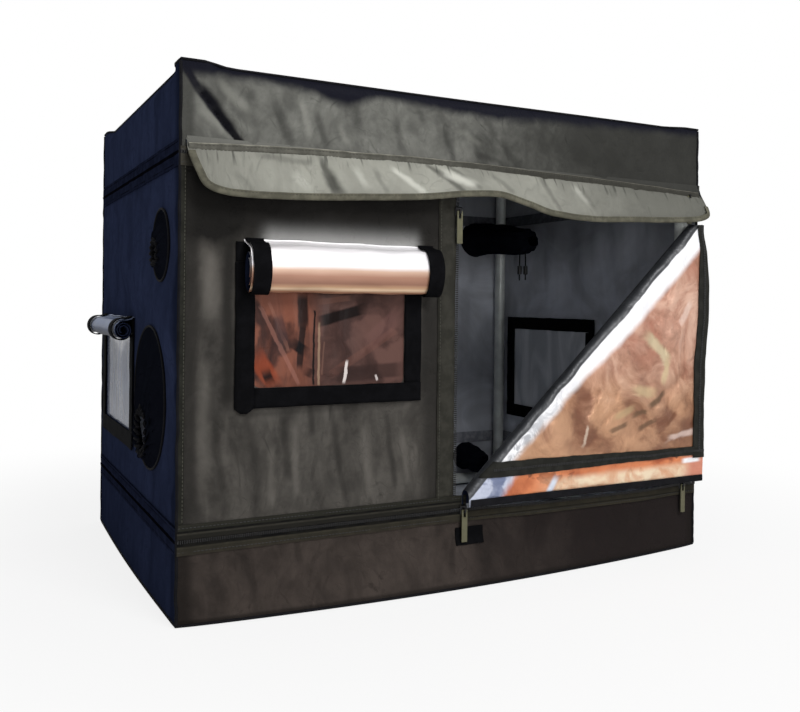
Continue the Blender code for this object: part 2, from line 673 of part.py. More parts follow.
def wall_sleeve(name, y, z, diameter, length):
    """A turned sleeve for the left wall: a flange round the hole and a sock that narrows outwards."""
    hole = within(diameter / 2, PORT_STEPS)
    mouth = hole * SLEEVE_MOUTH_SHARE
    shoulder = length / 3
    # Radius and height above the wall's outer face, down the outer side and up the bore
    profile = (
        (mouth, length),
        (hole - (hole - mouth) / 3, shoulder * 2),
        (hole, shoulder),
        (hole, GAP + CLOTH),
        (hole + PORT_FLANGE, GAP + CLOTH),
        (hole + PORT_FLANGE, GAP),
        (hole, GAP),
        (hole, -CLOTH),
        (hole - CLOTH, -CLOTH),
        (hole - CLOTH, shoulder),
        (hole - CLOTH - (hole - mouth) / 3, shoulder * 2),
        (mouth - CLOTH, length),
    )
    mesh = bpy.data.meshes.new(name)
    edges = [(i, (i + 1) % len(profile)) for i in range(len(profile))]
    mesh.from_pydata([(r, 0, h) for r, h in profile], edges, [])
    obj = bpy.data.objects.new(name, mesh)
    bpy.context.scene.collection.objects.link(obj)
    turn = obj.modifiers.new("Screw", "SCREW")
    turn.angle = 2 * math.pi
    turn.steps = PORT_STEPS
    turn.render_steps = PORT_STEPS
    turn.use_merge_vertices = True
    turn.merge_threshold = WELD
    obj.location = (LEFT, y, z)
    obj.rotation_euler = (0, -math.pi / 2, 0)
    made = to_mesh(obj)
    smooth(made)
    adopt(made, name, SLEEVE_BLACK, 0.8)


def rear_sleeve(name, x, z, diameter, reach, sag, shares):
    """A soft tube from a hole in the back, running into the tent and narrowing to its gathered mouth."""
    radius = within(diameter / 2, SLEEVE_SIDES)
    curve = bpy.data.curves.new(name, "CURVE")
    curve.dimensions = "3D"
    curve.bevel_depth = radius
    curve.bevel_resolution = SLEEVE_SIDES // 4 - 1
    spline = curve.splines.new("POLY")
    stations = [(-SLEEVE_COLLAR - CLOTH, 1.0, 0.0)]
    stations += [(reach * along, share, sag * along * along) for along, share in shares]
    spline.points.add(len(stations) - 1)
    for point, (along, share, drop) in zip(spline.points, stations):
        point.co = (x, BACK - CLOTH - along, z - drop, 1)
        point.radius = share
    obj = bpy.data.objects.new(name, curve)
    bpy.context.scene.collection.objects.link(obj)
    made = to_mesh(obj)
    solidify(made, CLOTH)
    smooth(made)
    adopt(made, name, SLEEVE_BLACK, 0.8)


def sleeves():
    wall_sleeve("cable_port_sleeve", SMALL_PORT_Y, SMALL_PORT_Z, SMALL_PORT_DIAMETER, SMALL_SLEEVE_LENGTH)
    wall_sleeve("duct_port_sleeve", LARGE_PORT_Y, LARGE_PORT_Z, LARGE_PORT_DIAMETER, LARGE_SLEEVE_LENGTH)
    rear_sleeve(
        "rear_duct_sleeve",
        REAR_PORT_X,
        REAR_PORT_Z,
        REAR_PORT_DIAMETER,
        REAR_SLEEVE_REACH,
        REAR_SLEEVE_SAG,
        REAR_SLEEVE_SHARES,
    )
    rear_sleeve(
        "rear_vent_sleeve",
        VENT_PORT_X,
        VENT_PORT_Z,
        VENT_PORT_DIAMETER,
        VENT_SLEEVE_REACH,
        VENT_SLEEVE_SAG,
        VENT_SLEEVE_SHARES,
    )


# Drawcords and their locks
def drawcord(name, route):
    curve = bpy.data.curves.new(name, "CURVE")
    curve.dimensions = "3D"
    curve.bevel_depth = CORD_DIAMETER / 2
    curve.bevel_resolution = CORD_SIDES_RESOLUTION
    curve.use_fill_caps = True
    spline = curve.splines.new("POLY")
    spline.points.add(len(route) - 1)
    for point, (x, y, z) in zip(spline.points, route):
        point.co = (REAR_PORT_X + x, BACK + y, REAR_PORT_Z + z, 1)
    obj = bpy.data.objects.new(name, curve)
    bpy.context.scene.collection.objects.link(obj)
    adopt(obj, name, HOOK_BLACK, 0.7)


def cord_lock(name, route):
    x, y, _ = route[-1]
    centre = (REAR_PORT_X + x, BACK + y, REAR_PORT_Z - CORD_LOCK_DROP)
    body = cylinder(CORD_LOCK_DIAMETER / 2, CORD_LOCK_LENGTH, centre, sides=CORD_LOCK_SIDES)
    bevel(body, CORD_LOCK_ROUNDING)
    depth = CORD_LOCK_LENGTH + 2 * CUT_OVERRUN
    boolean(body, cylinder(CORD_DIAMETER / 2 + GAP, depth, centre, sides=CORD_LOCK_SIDES))
    adopt(body, name, HOOK_BLACK, 0.4)


def drawcords():
    drawcord("drawcord_left", CORD_A_ROUTE)
    drawcord("drawcord_right", CORD_B_ROUTE)
    cord_lock("cord_lock_left", CORD_A_ROUTE)
    cord_lock("cord_lock_right", CORD_B_ROUTE)


# Zips
ZIP_BLACK = (0.014, 0.014, 0.018)


def zip_rail(z):
    """A zip along the front, carried round both sides: a tape with its teeth standing proud."""
    seat, tape, teeth = GAP, GAP + ZIP_TAPE_THICKNESS, GAP + ZIP_TEETH_HEIGHT
    band = zip_band(z, seat, tape, ZIP_TAPE_WIDTH)
    boolean(band, zip_band(z, seat, teeth, ZIP_TEETH_WIDTH), "UNION")
    return band


def zip_band(z, inner, outer, width):
    """A U of one thickness round the left, front and right of the cloth box."""
    bottom, top = z - width / 2, z + width / 2
    outside = box((LEFT - outer, FRONT - outer, bottom), (RIGHT + outer, BACK - CLOTH, top))
    low = (LEFT - inner, FRONT - inner, bottom - CUT_OVERRUN)
    high = (RIGHT + inner, BACK + CUT_OVERRUN, top + CUT_OVERRUN)
    boolean(outside, box(low, high))
    return to_mesh(outside)


def door_zip():
    """The fixed half of the door's zip, up the edge of the front panel."""
    low_z = BASE_ZIP_HEIGHT + ZIP_TAPE_WIDTH / 2 + GAP
    high_z = ROOF_ZIP_HEIGHT - ZIP_TAPE_WIDTH / 2 - GAP
    tape = box(
        (DOOR_ZIP_X - DOOR_ZIP_TAPE_WIDTH, ZIP_FRONT - ZIP_TAPE_THICKNESS, low_z),
        (DOOR_ZIP_X + ZIP_TEETH_WIDTH, ZIP_FRONT, high_z),
    )
    teeth = box(
        (DOOR_ZIP_X, ZIP_FRONT - ZIP_TEETH_HEIGHT, low_z),
        (DOOR_ZIP_X + ZIP_TEETH_WIDTH, ZIP_FRONT - ZIP_TAPE_THICKNESS / 2, high_z),
    )
    boolean(tape, teeth, "UNION")
    adopt(tape, "door_zip", ZIP_BLACK, 0.6)


SLIDER_METAL = (0.06, 0.06, 0.065)
PULLER_METAL = (0.55, 0.56, 0.58)


def slider(name, x, z):
    """A zip slider: a round-edged plate over the teeth with an arch that holds the puller's bar."""
    face = SLIDER_BACK - SLIDER_THICKNESS
    plate = box(
        (x - SLIDER_WIDTH / 2, face, z - SLIDER_HEIGHT / 2),
        (x + SLIDER_WIDTH / 2, SLIDER_BACK, z + SLIDER_HEIGHT / 2),
    )
    bevel(plate, SLIDER_ROUNDING, 1)
    half_length = ARCH_MOUTH / 2 + ARCH_WALL
    arch = box(
        (x - ARCH_WIDTH / 2, face - ARCH_DEPTH, z - half_length),
        (x + ARCH_WIDTH / 2, face + SLIDER_THICKNESS / 2, z + half_length),
    )
    mouth = box(
        (x - ARCH_WIDTH / 2 - CUT_OVERRUN, face - ARCH_MOUTH, z - ARCH_MOUTH / 2),
        (x + ARCH_WIDTH / 2 + CUT_OVERRUN, face, z + ARCH_MOUTH / 2),
    )
    boolean(arch, mouth)
    boolean(plate, to_mesh(arch), "UNION")
    adopt(plate, name, SLIDER_METAL, 0.4, 0.8)


def puller(name, x, z):
    """A flat pull tab whose cross bar lies in the slider's arch; its origin is on that bar."""
    top = PULLER_BAR / 2
    loop = rounded(-PULLER_WIDTH / 2, top - PULLER_LENGTH, PULLER_WIDTH / 2, top, PULLER_BAR / 2, 2)
    slot_top = top - PULLER_BAR
    slot_bottom = slot_top - PULLER_SLOT_LENGTH
    slot = rounded(-PULLER_SLOT_WIDTH / 2, slot_bottom, PULLER_SLOT_WIDTH / 2, slot_top, PULLER_BAR / 3, 1)
    middle = SLIDER_BACK - PULLER_AXIS_DEPTH
    tab = outline((loop, slot), PULLER_BAR, on_front(0))
    tab.location = (x, middle, z)
    adopt(tab, name, PULLER_METAL, 0.35, 0.9)


def zips():
    base = zip_rail(BASE_ZIP_HEIGHT)
    # Under the doorway only the tray's half of the tape is left, and the door turns past its end
    low = (DOOR_ZIP_X + ZIP_TEETH_WIDTH, FRONT - CUT_OVERRUN, BASE_ZIP_HEIGHT + ZIP_TEETH_WIDTH / 2)
    high = (DOOR_HINGE_X + HINGE_ROOM, FRONT + CUT_OVERRUN, BASE_ZIP_HEIGHT + ZIP_TAPE_WIDTH)
    boolean(base, box(low, high))
    adopt(base, "base_zip", ZIP_BLACK, 0.6)
    adopt(zip_rail(ROOF_ZIP_HEIGHT), "roof_zip", ZIP_BLACK, 0.6)
    door_zip()
    places = (
        ("door", DOOR_ZIP_X + ZIP_TEETH_WIDTH / 2, ROOF_ZIP_HEIGHT - DOOR_SLIDER_DROP),
        ("base_left", DOOR_ZIP_X + BASE_LEFT_SLIDER_OFFSET, BASE_ZIP_HEIGHT),
        ("base_right", RIGHT - BASE_RIGHT_SLIDER_INSET, BASE_ZIP_HEIGHT),
        ("roof", RIGHT - ROOF_SLIDER_INSET, ROOF_ZIP_HEIGHT),
    )
    for name, x, z in places:
        slider(f"{name}_zip_slider", x, z)
        puller(f"{name}_zip_puller", x, z)


# Door
def fold_frame():
    """The fold's place: its ends, the direction up along it, and the one square to it, into the cloth."""
    start = Vector((DOOR_LEFT, DOOR_BOTTOM + FOLD_RISE))
    end = Vector((DOOR_HINGE_X, DOOR_TOP + FOLD_RISE))
    along = (end - start).normalized()
    inward = Vector((along.y, -along.x))
    return start, end, along, inward


def hairpin():
    """The folded cloth's section: two layers and a half round. X runs into the cloth, Y to the front."""
    reach = (DOOR_HINGE_X - DOOR_LEFT) + (DOOR_TOP - DOOR_BOTTOM)
    outer, inner = FOLD_RADIUS + CLOTH / 2, FOLD_RADIUS - CLOTH / 2
    points = []
    for radius, order in ((outer, 1), (inner, -1)):
        arc = [(reach, -radius)]
        for step in range(FOLD_STEPS + 1):
            angle = -math.pi / 2 - math.pi * step / FOLD_STEPS
            arc.append((outer + radius * math.cos(angle), radius * math.sin(angle)))
        arc.append((reach, radius))
        points += arc[::order]
    return points


def door():
    start, end, along, inward = fold_frame()
    length = (end - start).length + 4 * FOLD_RADIUS
    middle = (start + end) / 2
    deep = FRONT + CLOTH / 2 - FOLD_RADIUS
    turn = Matrix(
        (
            (inward.x, 0, along.x, middle.x),
            (0, -1, 0, deep),
            (inward.y, 0, along.y, middle.y),
            (0, 0, 0, 1),
        )
    )
    cloth = outline((hairpin(),), length, turn)
    low = (DOOR_LEFT - FOLD_RADIUS, FRONT - 4 * FOLD_RADIUS, DOOR_BOTTOM)
    high = (DOOR_HINGE_X, FRONT + CLOTH + CUT_OVERRUN, DOOR_TOP)
    boolean(cloth, box(low, high), "INTERSECT")
    # The folded-out layer ends short of the hinge, clear of the wall when the door is open wide
    low = (DOOR_HINGE_X - HINGE_ROOM, FRONT - 4 * FOLD_RADIUS, DOOR_BOTTOM - CUT_OVERRUN)
    high = (DOOR_HINGE_X + CUT_OVERRUN, FRONT - GAP, DOOR_TOP + 2 * FOLD_RADIUS)
    boolean(cloth, box(low, high))
    smooth(cloth)
    adopt(cloth, "door_panel", FOIL, 0.35, 0.4)


def door_tape():
    """The door's half of the zip: across the fold's lower edge and up its free side, on the outer layer."""
    start, end, along, inward = fold_frame()
    slope = along.y / along.x
    edge = FOLD_RADIUS + CLOTH / 2

    def on_fold(x):
        """Height of the fold's flat edge above the cloth's lower corner, at x."""
        return start.y + (x - start.x) * slope - edge * math.hypot(1, slope)

    def beside_fold(z):
        return start.x + (z - start.y) / slope + edge * math.hypot(1, 1 / slope)

    right = DOOR_HINGE_X - HINGE_ROOM
    left = right - DOOR_TAPE_WIDTH
    low = DOOR_BOTTOM + LAP_HEIGHT
    high = low + DOOR_TAPE_WIDTH
    loop = (
        (right, low),
        (right, on_fold(right)),
        (left, on_fold(left)),
        (left, high),
        (beside_fold(high), high),
        (beside_fold(low), low),
    )
    y = FRONT + CLOTH / 2 - 2 * FOLD_RADIUS - CLOTH / 2 - GAP - DOOR_TAPE_THICKNESS / 2
    tape = outline((loop,), DOOR_TAPE_THICKNESS, on_front(y))
    # It ends where the door's top does
    room = (DOOR_LEFT - FOLD_RADIUS, y - FOLD_RADIUS, DOOR_BOTTOM), (DOOR_HINGE_X, y + FOLD_RADIUS, DOOR_TOP)
    boolean(tape, box(*room), "INTERSECT")
    adopt(tape, "door_edge_tape", ZIP_BLACK, 0.6)


# Roof flap
def flap():
    """The light flap: a hanging strip, sewn along its top, standing off the front in shallow waves."""
    bpy.ops.mesh.primitive_grid_add(x_subdivisions=FLAP_COLUMNS, y_subdivisions=FLAP_ROWS, size=2)
    strip = bpy.context.object
    length = FLAP_RIGHT - FLAP_LEFT
    seam_y = FRONT - GAP - CLOTH / 2
    for vertex in strip.data.vertices:
        across, down = vertex.co.x / 2 + 0.5, 0.5 - vertex.co.y / 2
        end = min(across, 1 - across) * length
        corner = min(end / FLAP_CORNER, 1)
        drop = FLAP_DROP * (FLAP_END_SHARE + (1 - FLAP_END_SHARE) * math.sqrt(1 - (1 - corner) ** 2))
        wave = math.sin(2 * math.pi * FLAP_WAVES * across + FLAP_WAVE_START)
        standoff = FLAP_STANDOFF * down**FLAP_CURL + 2 * FLAP_WAVE * wave * down * down
        vertex.co = (
            FLAP_LEFT + across * length,
            seam_y - standoff,
            FLAP_TOP - drop * down + FLAP_WAVE * wave * down,
        )
    solidify(strip, CLOTH, 0.0)
    smooth(strip)
    adopt(strip, "roof_flap", ROOF_CLOTH, 0.65)


def main():
    clear_scene()
    corners()
    poles()
    base_tray()
    roof_cap()
    front_panel()
    left_wall()
    right_wall()
    back_wall()
    films()
    hook_frames()
    right_cover()
    rolled_covers()
    sleeves()
    drawcords()
    zips()
    door()
    door_tape()
    flap()


main()
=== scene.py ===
"""Dresses the indoor grow tent over its CAD frame with cloth, foil, zips, cords and a plain studio.

Lengths are in metres. X runs to the right along the front, Y to the back and Z up.
"""

import json
import math
import random

import bpy
from bpy.props import FloatProperty, FloatVectorProperty, IntProperty, PointerProperty
from mathutils import Matrix, Vector, noise

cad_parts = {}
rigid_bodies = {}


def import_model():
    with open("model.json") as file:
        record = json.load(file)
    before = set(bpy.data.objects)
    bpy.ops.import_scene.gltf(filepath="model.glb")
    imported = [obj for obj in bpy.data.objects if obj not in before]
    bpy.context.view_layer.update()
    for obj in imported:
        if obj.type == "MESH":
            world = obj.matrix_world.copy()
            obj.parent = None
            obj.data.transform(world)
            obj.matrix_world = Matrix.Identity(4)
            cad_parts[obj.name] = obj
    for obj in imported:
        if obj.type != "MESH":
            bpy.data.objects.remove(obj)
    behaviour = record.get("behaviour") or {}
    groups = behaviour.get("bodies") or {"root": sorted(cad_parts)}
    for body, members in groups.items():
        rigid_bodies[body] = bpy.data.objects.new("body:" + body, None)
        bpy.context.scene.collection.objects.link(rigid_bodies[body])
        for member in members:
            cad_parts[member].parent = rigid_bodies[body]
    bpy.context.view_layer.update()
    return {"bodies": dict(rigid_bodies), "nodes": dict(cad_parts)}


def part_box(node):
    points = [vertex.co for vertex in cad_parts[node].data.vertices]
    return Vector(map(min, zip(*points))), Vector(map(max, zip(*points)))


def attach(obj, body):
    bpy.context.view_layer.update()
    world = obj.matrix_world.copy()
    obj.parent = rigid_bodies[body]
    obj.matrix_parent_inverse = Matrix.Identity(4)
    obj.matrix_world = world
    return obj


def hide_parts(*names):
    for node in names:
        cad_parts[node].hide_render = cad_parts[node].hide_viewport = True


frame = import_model()

bl_info = {
    "name": "Indoor grow tent",
    "version": (1, 0, 0),
    "blender": (4, 5, 0),
    "location": "3D View > Sidebar > Grow tent",
    "description": "Makes the cover, fittings and finishes of a small grow tent over its frame",
    "category": "Object",
}

# Places taken from the frame
TRAY_LOW, TRAY_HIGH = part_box("base_tray")
CAP_LOW, CAP_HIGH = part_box("roof_cap")
LEFT, RIGHT = TRAY_LOW.x, TRAY_HIGH.x
FRONT, BACK = TRAY_LOW.y, TRAY_HIGH.y
BASE_LINE = TRAY_HIGH.z
ROOF_LINE = CAP_LOW.z
TOP = CAP_HIGH.z
PANEL_LEFT, PANEL_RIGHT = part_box("front_panel")[0].x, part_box("front_panel")[1].x
DOOR_LOW, DOOR_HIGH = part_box("door_panel")
DOOR_TAPE_LOW, DOOR_TAPE_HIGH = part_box("door_edge_tape")
FLAP_TOP = 0.5195
FOLD_RADIUS = 0.010
FOLD_RISE = 0.029

BASE_ZIP_LOW, BASE_ZIP_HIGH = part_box("base_zip")
ROOF_ZIP_LOW, ROOF_ZIP_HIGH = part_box("roof_zip")
DOOR_ZIP_LOW, DOOR_ZIP_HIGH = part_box("door_zip")

# Lower edge of the light flap, as x and z at its standoff from the front
FLAP_EDGE = (
    (-0.3660, 0.5150), (-0.3655, 0.5033), (-0.3637, 0.4923), (-0.3604, 0.4816), (-0.3561, 0.4711),
    (-0.3494, 0.4639), (-0.3383, 0.4592), (-0.3203, 0.4566), (-0.3040, 0.4562), (-0.2590, 0.4572),
    (-0.1880, 0.4612), (-0.0980, 0.4672), (-0.0290, 0.4755), (0.0080, 0.4778), (0.0440, 0.4720),
    (0.0970, 0.4590), (0.1590, 0.4552), (0.2240, 0.4580), (0.2940, 0.4610), (0.3400, 0.4640),
    (0.3585, 0.4670), (0.3690, 0.4715), (0.3735, 0.4780), (0.3755, 0.4880), (0.3760, 0.5060),
)

# Top of the seam that sews the light flap to the band
FLAP_SEAM = (
    (-0.3669, 0.5110), (-0.2948, 0.5145), (-0.2248, 0.5170), (-0.1579, 0.5182), (-0.0873, 0.5192),
    (-0.0215, 0.5190), (0.0788, 0.5168), (0.2068, 0.5139), (0.3760, 0.5078),
)

# Lower edge of the dark part of the roof's front band, painted shade where the cloth turns back over the pole
BAND_EDGE = (
    (-0.3725, 0.5920), (-0.3632, 0.5908), (-0.3364, 0.5901), (-0.2863, 0.5893), (-0.2515, 0.5885),
    (-0.2240, 0.5847), (-0.2031, 0.5781), (-0.1844, 0.5757), (-0.1654, 0.5803), (-0.1396, 0.5880),
    (-0.1131, 0.5876), (-0.0721, 0.5864), (-0.0209, 0.5824), (0.0296, 0.5804), (0.1015, 0.5868),
    (0.1916, 0.5898), (0.2811, 0.5935), (0.3725, 0.5948),
)

# The two drawcords of the rear duct sleeve
CORD_LEFT = [
    (0.2960, 0.0820, 0.4443), (0.2960, 0.0820, 0.4408), (0.2961, 0.0820, 0.4368), (0.2962, 0.0820, 0.4325),
] + [(0.2962, 0.0820, z) for z in (0.4270, 0.4210, 0.4150, 0.4090, 0.4030, 0.3970, 0.3910, 0.3860)]
CORD_RIGHT = [
    (0.3068, 0.0820, 0.4398), (0.3069, 0.0818, 0.4371), (0.3070, 0.0812, 0.4340), (0.3072, 0.0806, 0.4310),
    (0.3072, 0.0802, 0.4265),
] + [(0.3072, 0.0800, z) for z in (0.4210, 0.4150, 0.4090, 0.4030, 0.3970, 0.3910, 0.3870)]
CORD_DIAMETER = 0.0022


def shade(red, green, blue):
    """A colour given from 0 to 255 as it looks on a screen, made linear."""
    parts = []
    for part in (red, green, blue):
        part /= 255
        parts.append(part / 12.92 if part <= 0.04045 else ((part + 0.055) / 1.055) ** 2.4)
    return tuple(parts)


def colour(name, description, *parts):
    return FloatVectorProperty(
        name=name, description=description, subtype="COLOR", size=3, min=0, max=1, default=shade(*parts)
    )


def length(name, description, size):
    return FloatProperty(name=name, description=description, default=size, unit="LENGTH")


class TentSizes(bpy.types.PropertyGroup):
    """Sizes of the cover that a user may change."""

    cloth: length("Cloth thickness", "Thickness of the lined cloth", 0.0012)
    weave: length("Weave pitch", "Distance between the threads of the cloth", 0.0013)
    cell: length("Cloth cell", "Side of the squares that a panel is modelled with", 0.0085)
    binding: length("Binding width", "Width of the tape bound over a cut edge", 0.0065)
    stitch: length("Stitch length", "Length of one stitch and the gap after it", 0.0042)
    tooth: length("Tooth pitch", "Distance between the teeth of a zip", 0.0024)
    foot_bulge: length("Foot bulge", "How far the foot of the front swells forward", 0.024)
    settle_frames: IntProperty(
        name="Settling frames", description="Steps for which the walls hang", default=22, min=1
    )


class TentColours(bpy.types.PropertyGroup):
    """Colours of the cover and its fittings."""

    # The front, side, roof, flap and base colours are one black cloth, each painted at the tone it takes in its
    # light: lighter where lit, as on the flap and the roof band, darker and bluer where shaded, as on the
    # walls.
    front: colour("Front cloth", "Cloth of the front panel", 74, 71, 67)
    side: colour("Side cloth", "Cloth of the walls", 49, 57, 84)
    roof: colour("Roof cloth", "Cloth of the band under the roof", 106, 106, 101)
    flap: colour("Flap cloth", "Cloth of the light flap", 146, 146, 137)
    base: colour("Base cloth", "Cloth of the tray", 61, 54, 50)
    # Painted shade: the tray's cloth darkens towards its right end, where the light falls off.
    base_painted_shade: colour("Base cloth, dark", "The tray's cloth towards its right end", 32, 26, 26)
    lining: colour("Lining", "Foil on the inside of the cover", 226, 230, 240)
    copper: colour("Copper foil", "Foil on the turned-out side of the door", 196, 140, 118)
    cream: colour("Pale foil", "Crumpled highlights of the door's foil", 216, 196, 160)
    # Painted highlight: this white stands for the light reflected by the foil over the door's fold and along
    # the front roll's top.
    band: colour("Bright foil", "Foil over the door's fold", 244, 244, 247)
    film: colour("Window film", "Clear film of the side windows", 150, 158, 180)
    tape: colour("Zip tape", "Woven tape beside the teeth", 56, 54, 48)
    hook: colour("Hook tape", "Hook-and-loop tape round the windows", 13, 13, 15)
    sleeve: colour("Sleeve cloth", "Cloth of the duct sleeves", 20, 22, 30)
    pole: colour("Pole", "Coating of the poles", 222, 226, 222)
    metal: colour("Zip metal", "Metal of the zip sliders", 120, 120, 116)
    puller: colour("Pull tab", "Painted metal of the zip pull tabs", 92, 90, 68)
    plastic: colour("Plastic", "Plastic of the corners and cord locks", 34, 35, 38)
    cord: colour("Cord", "Braided cord", 22, 22, 26)


# Node trees
class Wire:
    """A socket of a node tree. Sums written with it add Math nodes."""

    def __init__(self, tree, socket):
        self.tree, self.socket = tree, socket

    def maths(self, operation, *values, clamp=False):
        node = self.tree.nodes.new("ShaderNodeMath")
        node.operation, node.use_clamp = operation, clamp
        for place, value in enumerate(values):
            plug(self.tree, node.inputs[place], value)
        return Wire(self.tree, node.outputs[0])

    def __add__(self, other):
        return self.maths("ADD", self, other)

    def __sub__(self, other):
        return self.maths("SUBTRACT", self, other)

    def __mul__(self, other):
        return self.maths("MULTIPLY", self, other)

    def __truediv__(self, other):
        return self.maths("DIVIDE", self, other)

    def __pow__(self, other):
        return self.maths("POWER", self, other)

    __radd__ = __add__
    __rmul__ = __mul__

    def __rsub__(self, other):
        return self.maths("SUBTRACT", other, self)

    def sine(self):
        return self.maths("SINE", self)

    def size(self):
        return self.maths("ABSOLUTE", self)

    def held(self):
        return self.maths("ADD", self, 0, clamp=True)


def plug(tree, socket, value):
    """Links a wire to a socket, or sets the socket to a plain value."""
    if isinstance(value, Wire):
        tree.links.new(value.socket, socket)
    elif hasattr(value, "__len__") and socket.type == "RGBA" and len(value) == 3:
        socket.default_value = (*value, 1)
    else:
        socket.default_value = value


class Finish:
    """A material under construction, round one Principled shader."""

    def __init__(self, name, **fixed):
        self.material = bpy.data.materials.new(name)
        self.material.use_nodes = True
        self.tree = self.material.node_tree
        self.shader = self.tree.nodes["Principled BSDF"]
        for socket, value in fixed.items():
            plug(self.tree, self.shader.inputs[socket.replace("_", " ")], value)

    def node(self, kind, settings=None, sockets=None, out=0):
        """Adds a node, with its settings made first, and gives one of its outputs."""
        node = self.tree.nodes.new("ShaderNode" + kind)
        for name, value in (settings or {}).items():
            if name == "stops":
                while len(node.color_ramp.elements) < len(value):
                    node.color_ramp.elements.new(0.5)
                for element, (place, paint) in zip(node.color_ramp.elements, value):
                    element.position, element.color = place, (*paint, 1)
            else:
                setattr(node, name, value)
        for name, value in (sockets or {}).items():
            plug(self.tree, node.inputs[name], value)
        return Wire(self.tree, node.outputs[out])

    def place(self, coordinates, stretch=(1, 1, 1)):
        """Texture coordinates, UV in metres of cloth or Object in the tent's own frame."""
        where = self.node("TexCoord", out=coordinates)
        return self.node("VectorMath", {"operation": "MULTIPLY"}, {0: where, 1: stretch})

    def parts(self, vector):
        node = self.tree.nodes.new("ShaderNodeSeparateXYZ")
        plug(self.tree, node.inputs[0], vector)
        return [Wire(self.tree, socket) for socket in node.outputs]

    def spot(self):
        """How far a place lies along the front, from the middle to the right, and how high."""
        across, _, up = self.parts(self.place("Object"))
        return across, up

    def grain(self, vector, scale, detail=3, roughness=0.55, distortion=0):
        sockets = {
            "Vector": vector, "Scale": scale, "Detail": detail, "Roughness": roughness, "Distortion": distortion
        }
        return self.node("TexNoise", sockets=sockets)

    def facets(self, vector, scale, bend=0.03, soft=0.25):
        """A value of its own for every facet of crumpled cloth or foil."""
        sway = self.node("TexNoise", sockets={"Vector": vector, "Scale": scale * 0.9, "Detail": 3}, out=1)
        bent = self.node("VectorMath", {"operation": "MULTIPLY_ADD"}, {0: sway, 1: (bend,) * 3, 2: vector})
        sockets = {"Vector": bent, "Scale": scale, "Smoothness": soft}
        return self.node("TexVoronoi", {"feature": "SMOOTH_F1"}, sockets, out=1)

    def step(self, value, low, high):
        """0 below low and 1 above high, smooth between them."""
        sockets = {"Value": value, "From Min": low, "From Max": high}
        return self.node("MapRange", {"interpolation_type": "SMOOTHSTEP"}, sockets)

    def mix(self, share, first, second):
        """Two colours mixed."""
        return self.node("Mix", {"data_type": "RGBA"}, {0: share, 6: first, 7: second}, out=2)

    def attribute(self, name):
        return self.node("Attribute", {"attribute_name": name}, out=2)

    def painted(self):
        """The colour as it stands so far."""
        return Wire(self.tree, self.shader.inputs["Base Color"].links[0].from_socket)

    def stroke(self, across, up, start, end, width, soft=0.3):
        """1 along a straight stroke from start to end, fading at its sides and its two ends."""
        line = Vector(end) - Vector(start)
        way = line.normalized()
        run = (across - start[0]) * way.x + (up - start[1]) * way.y
        away = ((across - start[0]) * way.y - (up - start[1]) * way.x).size()
        ends = self.step(run, -width, width) * self.step(run, line.length + width, line.length - width)
        return self.step(away, width, width * soft) * ends

    def strokes(self, paint, across, up, soft, tone, table):
        """A colour with strokes over it. A row holds a stroke's two ends and its width, in millimetres, then
        its share and, if the tone isn't shared, its own red, green and blue."""
        for x, z, to_x, to_z, width, share, *own in table:
            start, end = (x / 1000, z / 1000), (to_x / 1000, to_z / 1000)
            line = self.stroke(across, up, start, end, width / 1000, soft)
            paint = self.mix(line * share, paint, shade(*own) if own else tone)
        return paint

    def set(self, socket, value):
        plug(self.tree, self.shader.inputs[socket], value)

    def bump(self, height, distance, strength=1.0):
        sockets = {"Height": height, "Distance": distance, "Strength": strength}
        self.set("Normal", self.node("Bump", sockets=sockets))


def darker(paint, share):
    return tuple(part * share for part in paint)


def weave(finish, where):
    """Height of a plain weave, from -1 to 1."""
    pitch = bpy.context.scene.tent_sizes.weave
    across, up, _ = finish.parts(where)
    turn = 2 * math.pi / pitch
    return (across * turn).sine() * (up * turn).sine()


def creases(finish, where, scale, width=0.03):
    """Thin wandering lines, 1 on a line and 0 away from it."""
    wander = finish.grain(where, scale, 2, 0.5, 0.9)
    return 1 - finish.step((wander - 0.5).size(), 0.0, width)


def cloth_finish(name, paint, coordinates="UV", contrast=0.3, streak=(1, 0.35, 1), gloss=0.2):
    """Woven cloth: threads, soft mottling in the direction it hangs and over crumpled facets, partly random
    tone and partly painted light and shade of its folds, small creases in painted shade and faint dust.
    """
    finish = Finish(name, Specular_IOR_Level=gloss)
    where = finish.place(coordinates)
    threads = weave(finish, where)
    hung = finish.place(coordinates, streak)
    hang = finish.grain(hung, 24, 4, 0.6, 0.6)
    blotch = finish.grain(where, 55, 3, 0.6)
    folds = creases(finish, hung, 17) * finish.step(blotch, 0.45, 0.6)
    small = creases(finish, where, 46, 0.05) * finish.step(hang, 0.5, 0.62)
    patch = finish.facets(hung, 26)
    light = (finish.step(hang, 0.36, 0.66) * 0.45 + finish.step(blotch, 0.38, 0.64) * 0.2 + patch * 0.35).held()
    paint_mix = finish.mix(light, darker(paint, 1 - contrast), darker(paint, 1 + contrast * 0.6))
    thread_mix = finish.mix(threads * 0.5 + 0.5, darker(paint, 0.86), darker(paint, 1.12))
    toned = finish.mix(0.3, paint_mix, thread_mix)
    # Painted shade in the folds and small creases.
    marks = (folds * 0.5 + small * 0.35).held()
    finish.set("Base Color", finish.mix(marks * min(contrast * 1.6, 0.8), toned, darker(paint, 0.45)))
    finish.set("Roughness", 0.6 + blotch * 0.25)
    height = threads * 0.06 + finish.grain(where, 240, 2) * 0.2 + hang * 1.1
    height = height - folds * 0.35 - small * 0.2 + patch * 0.5
    finish.bump(height, 0.0022, 0.75)
    return finish


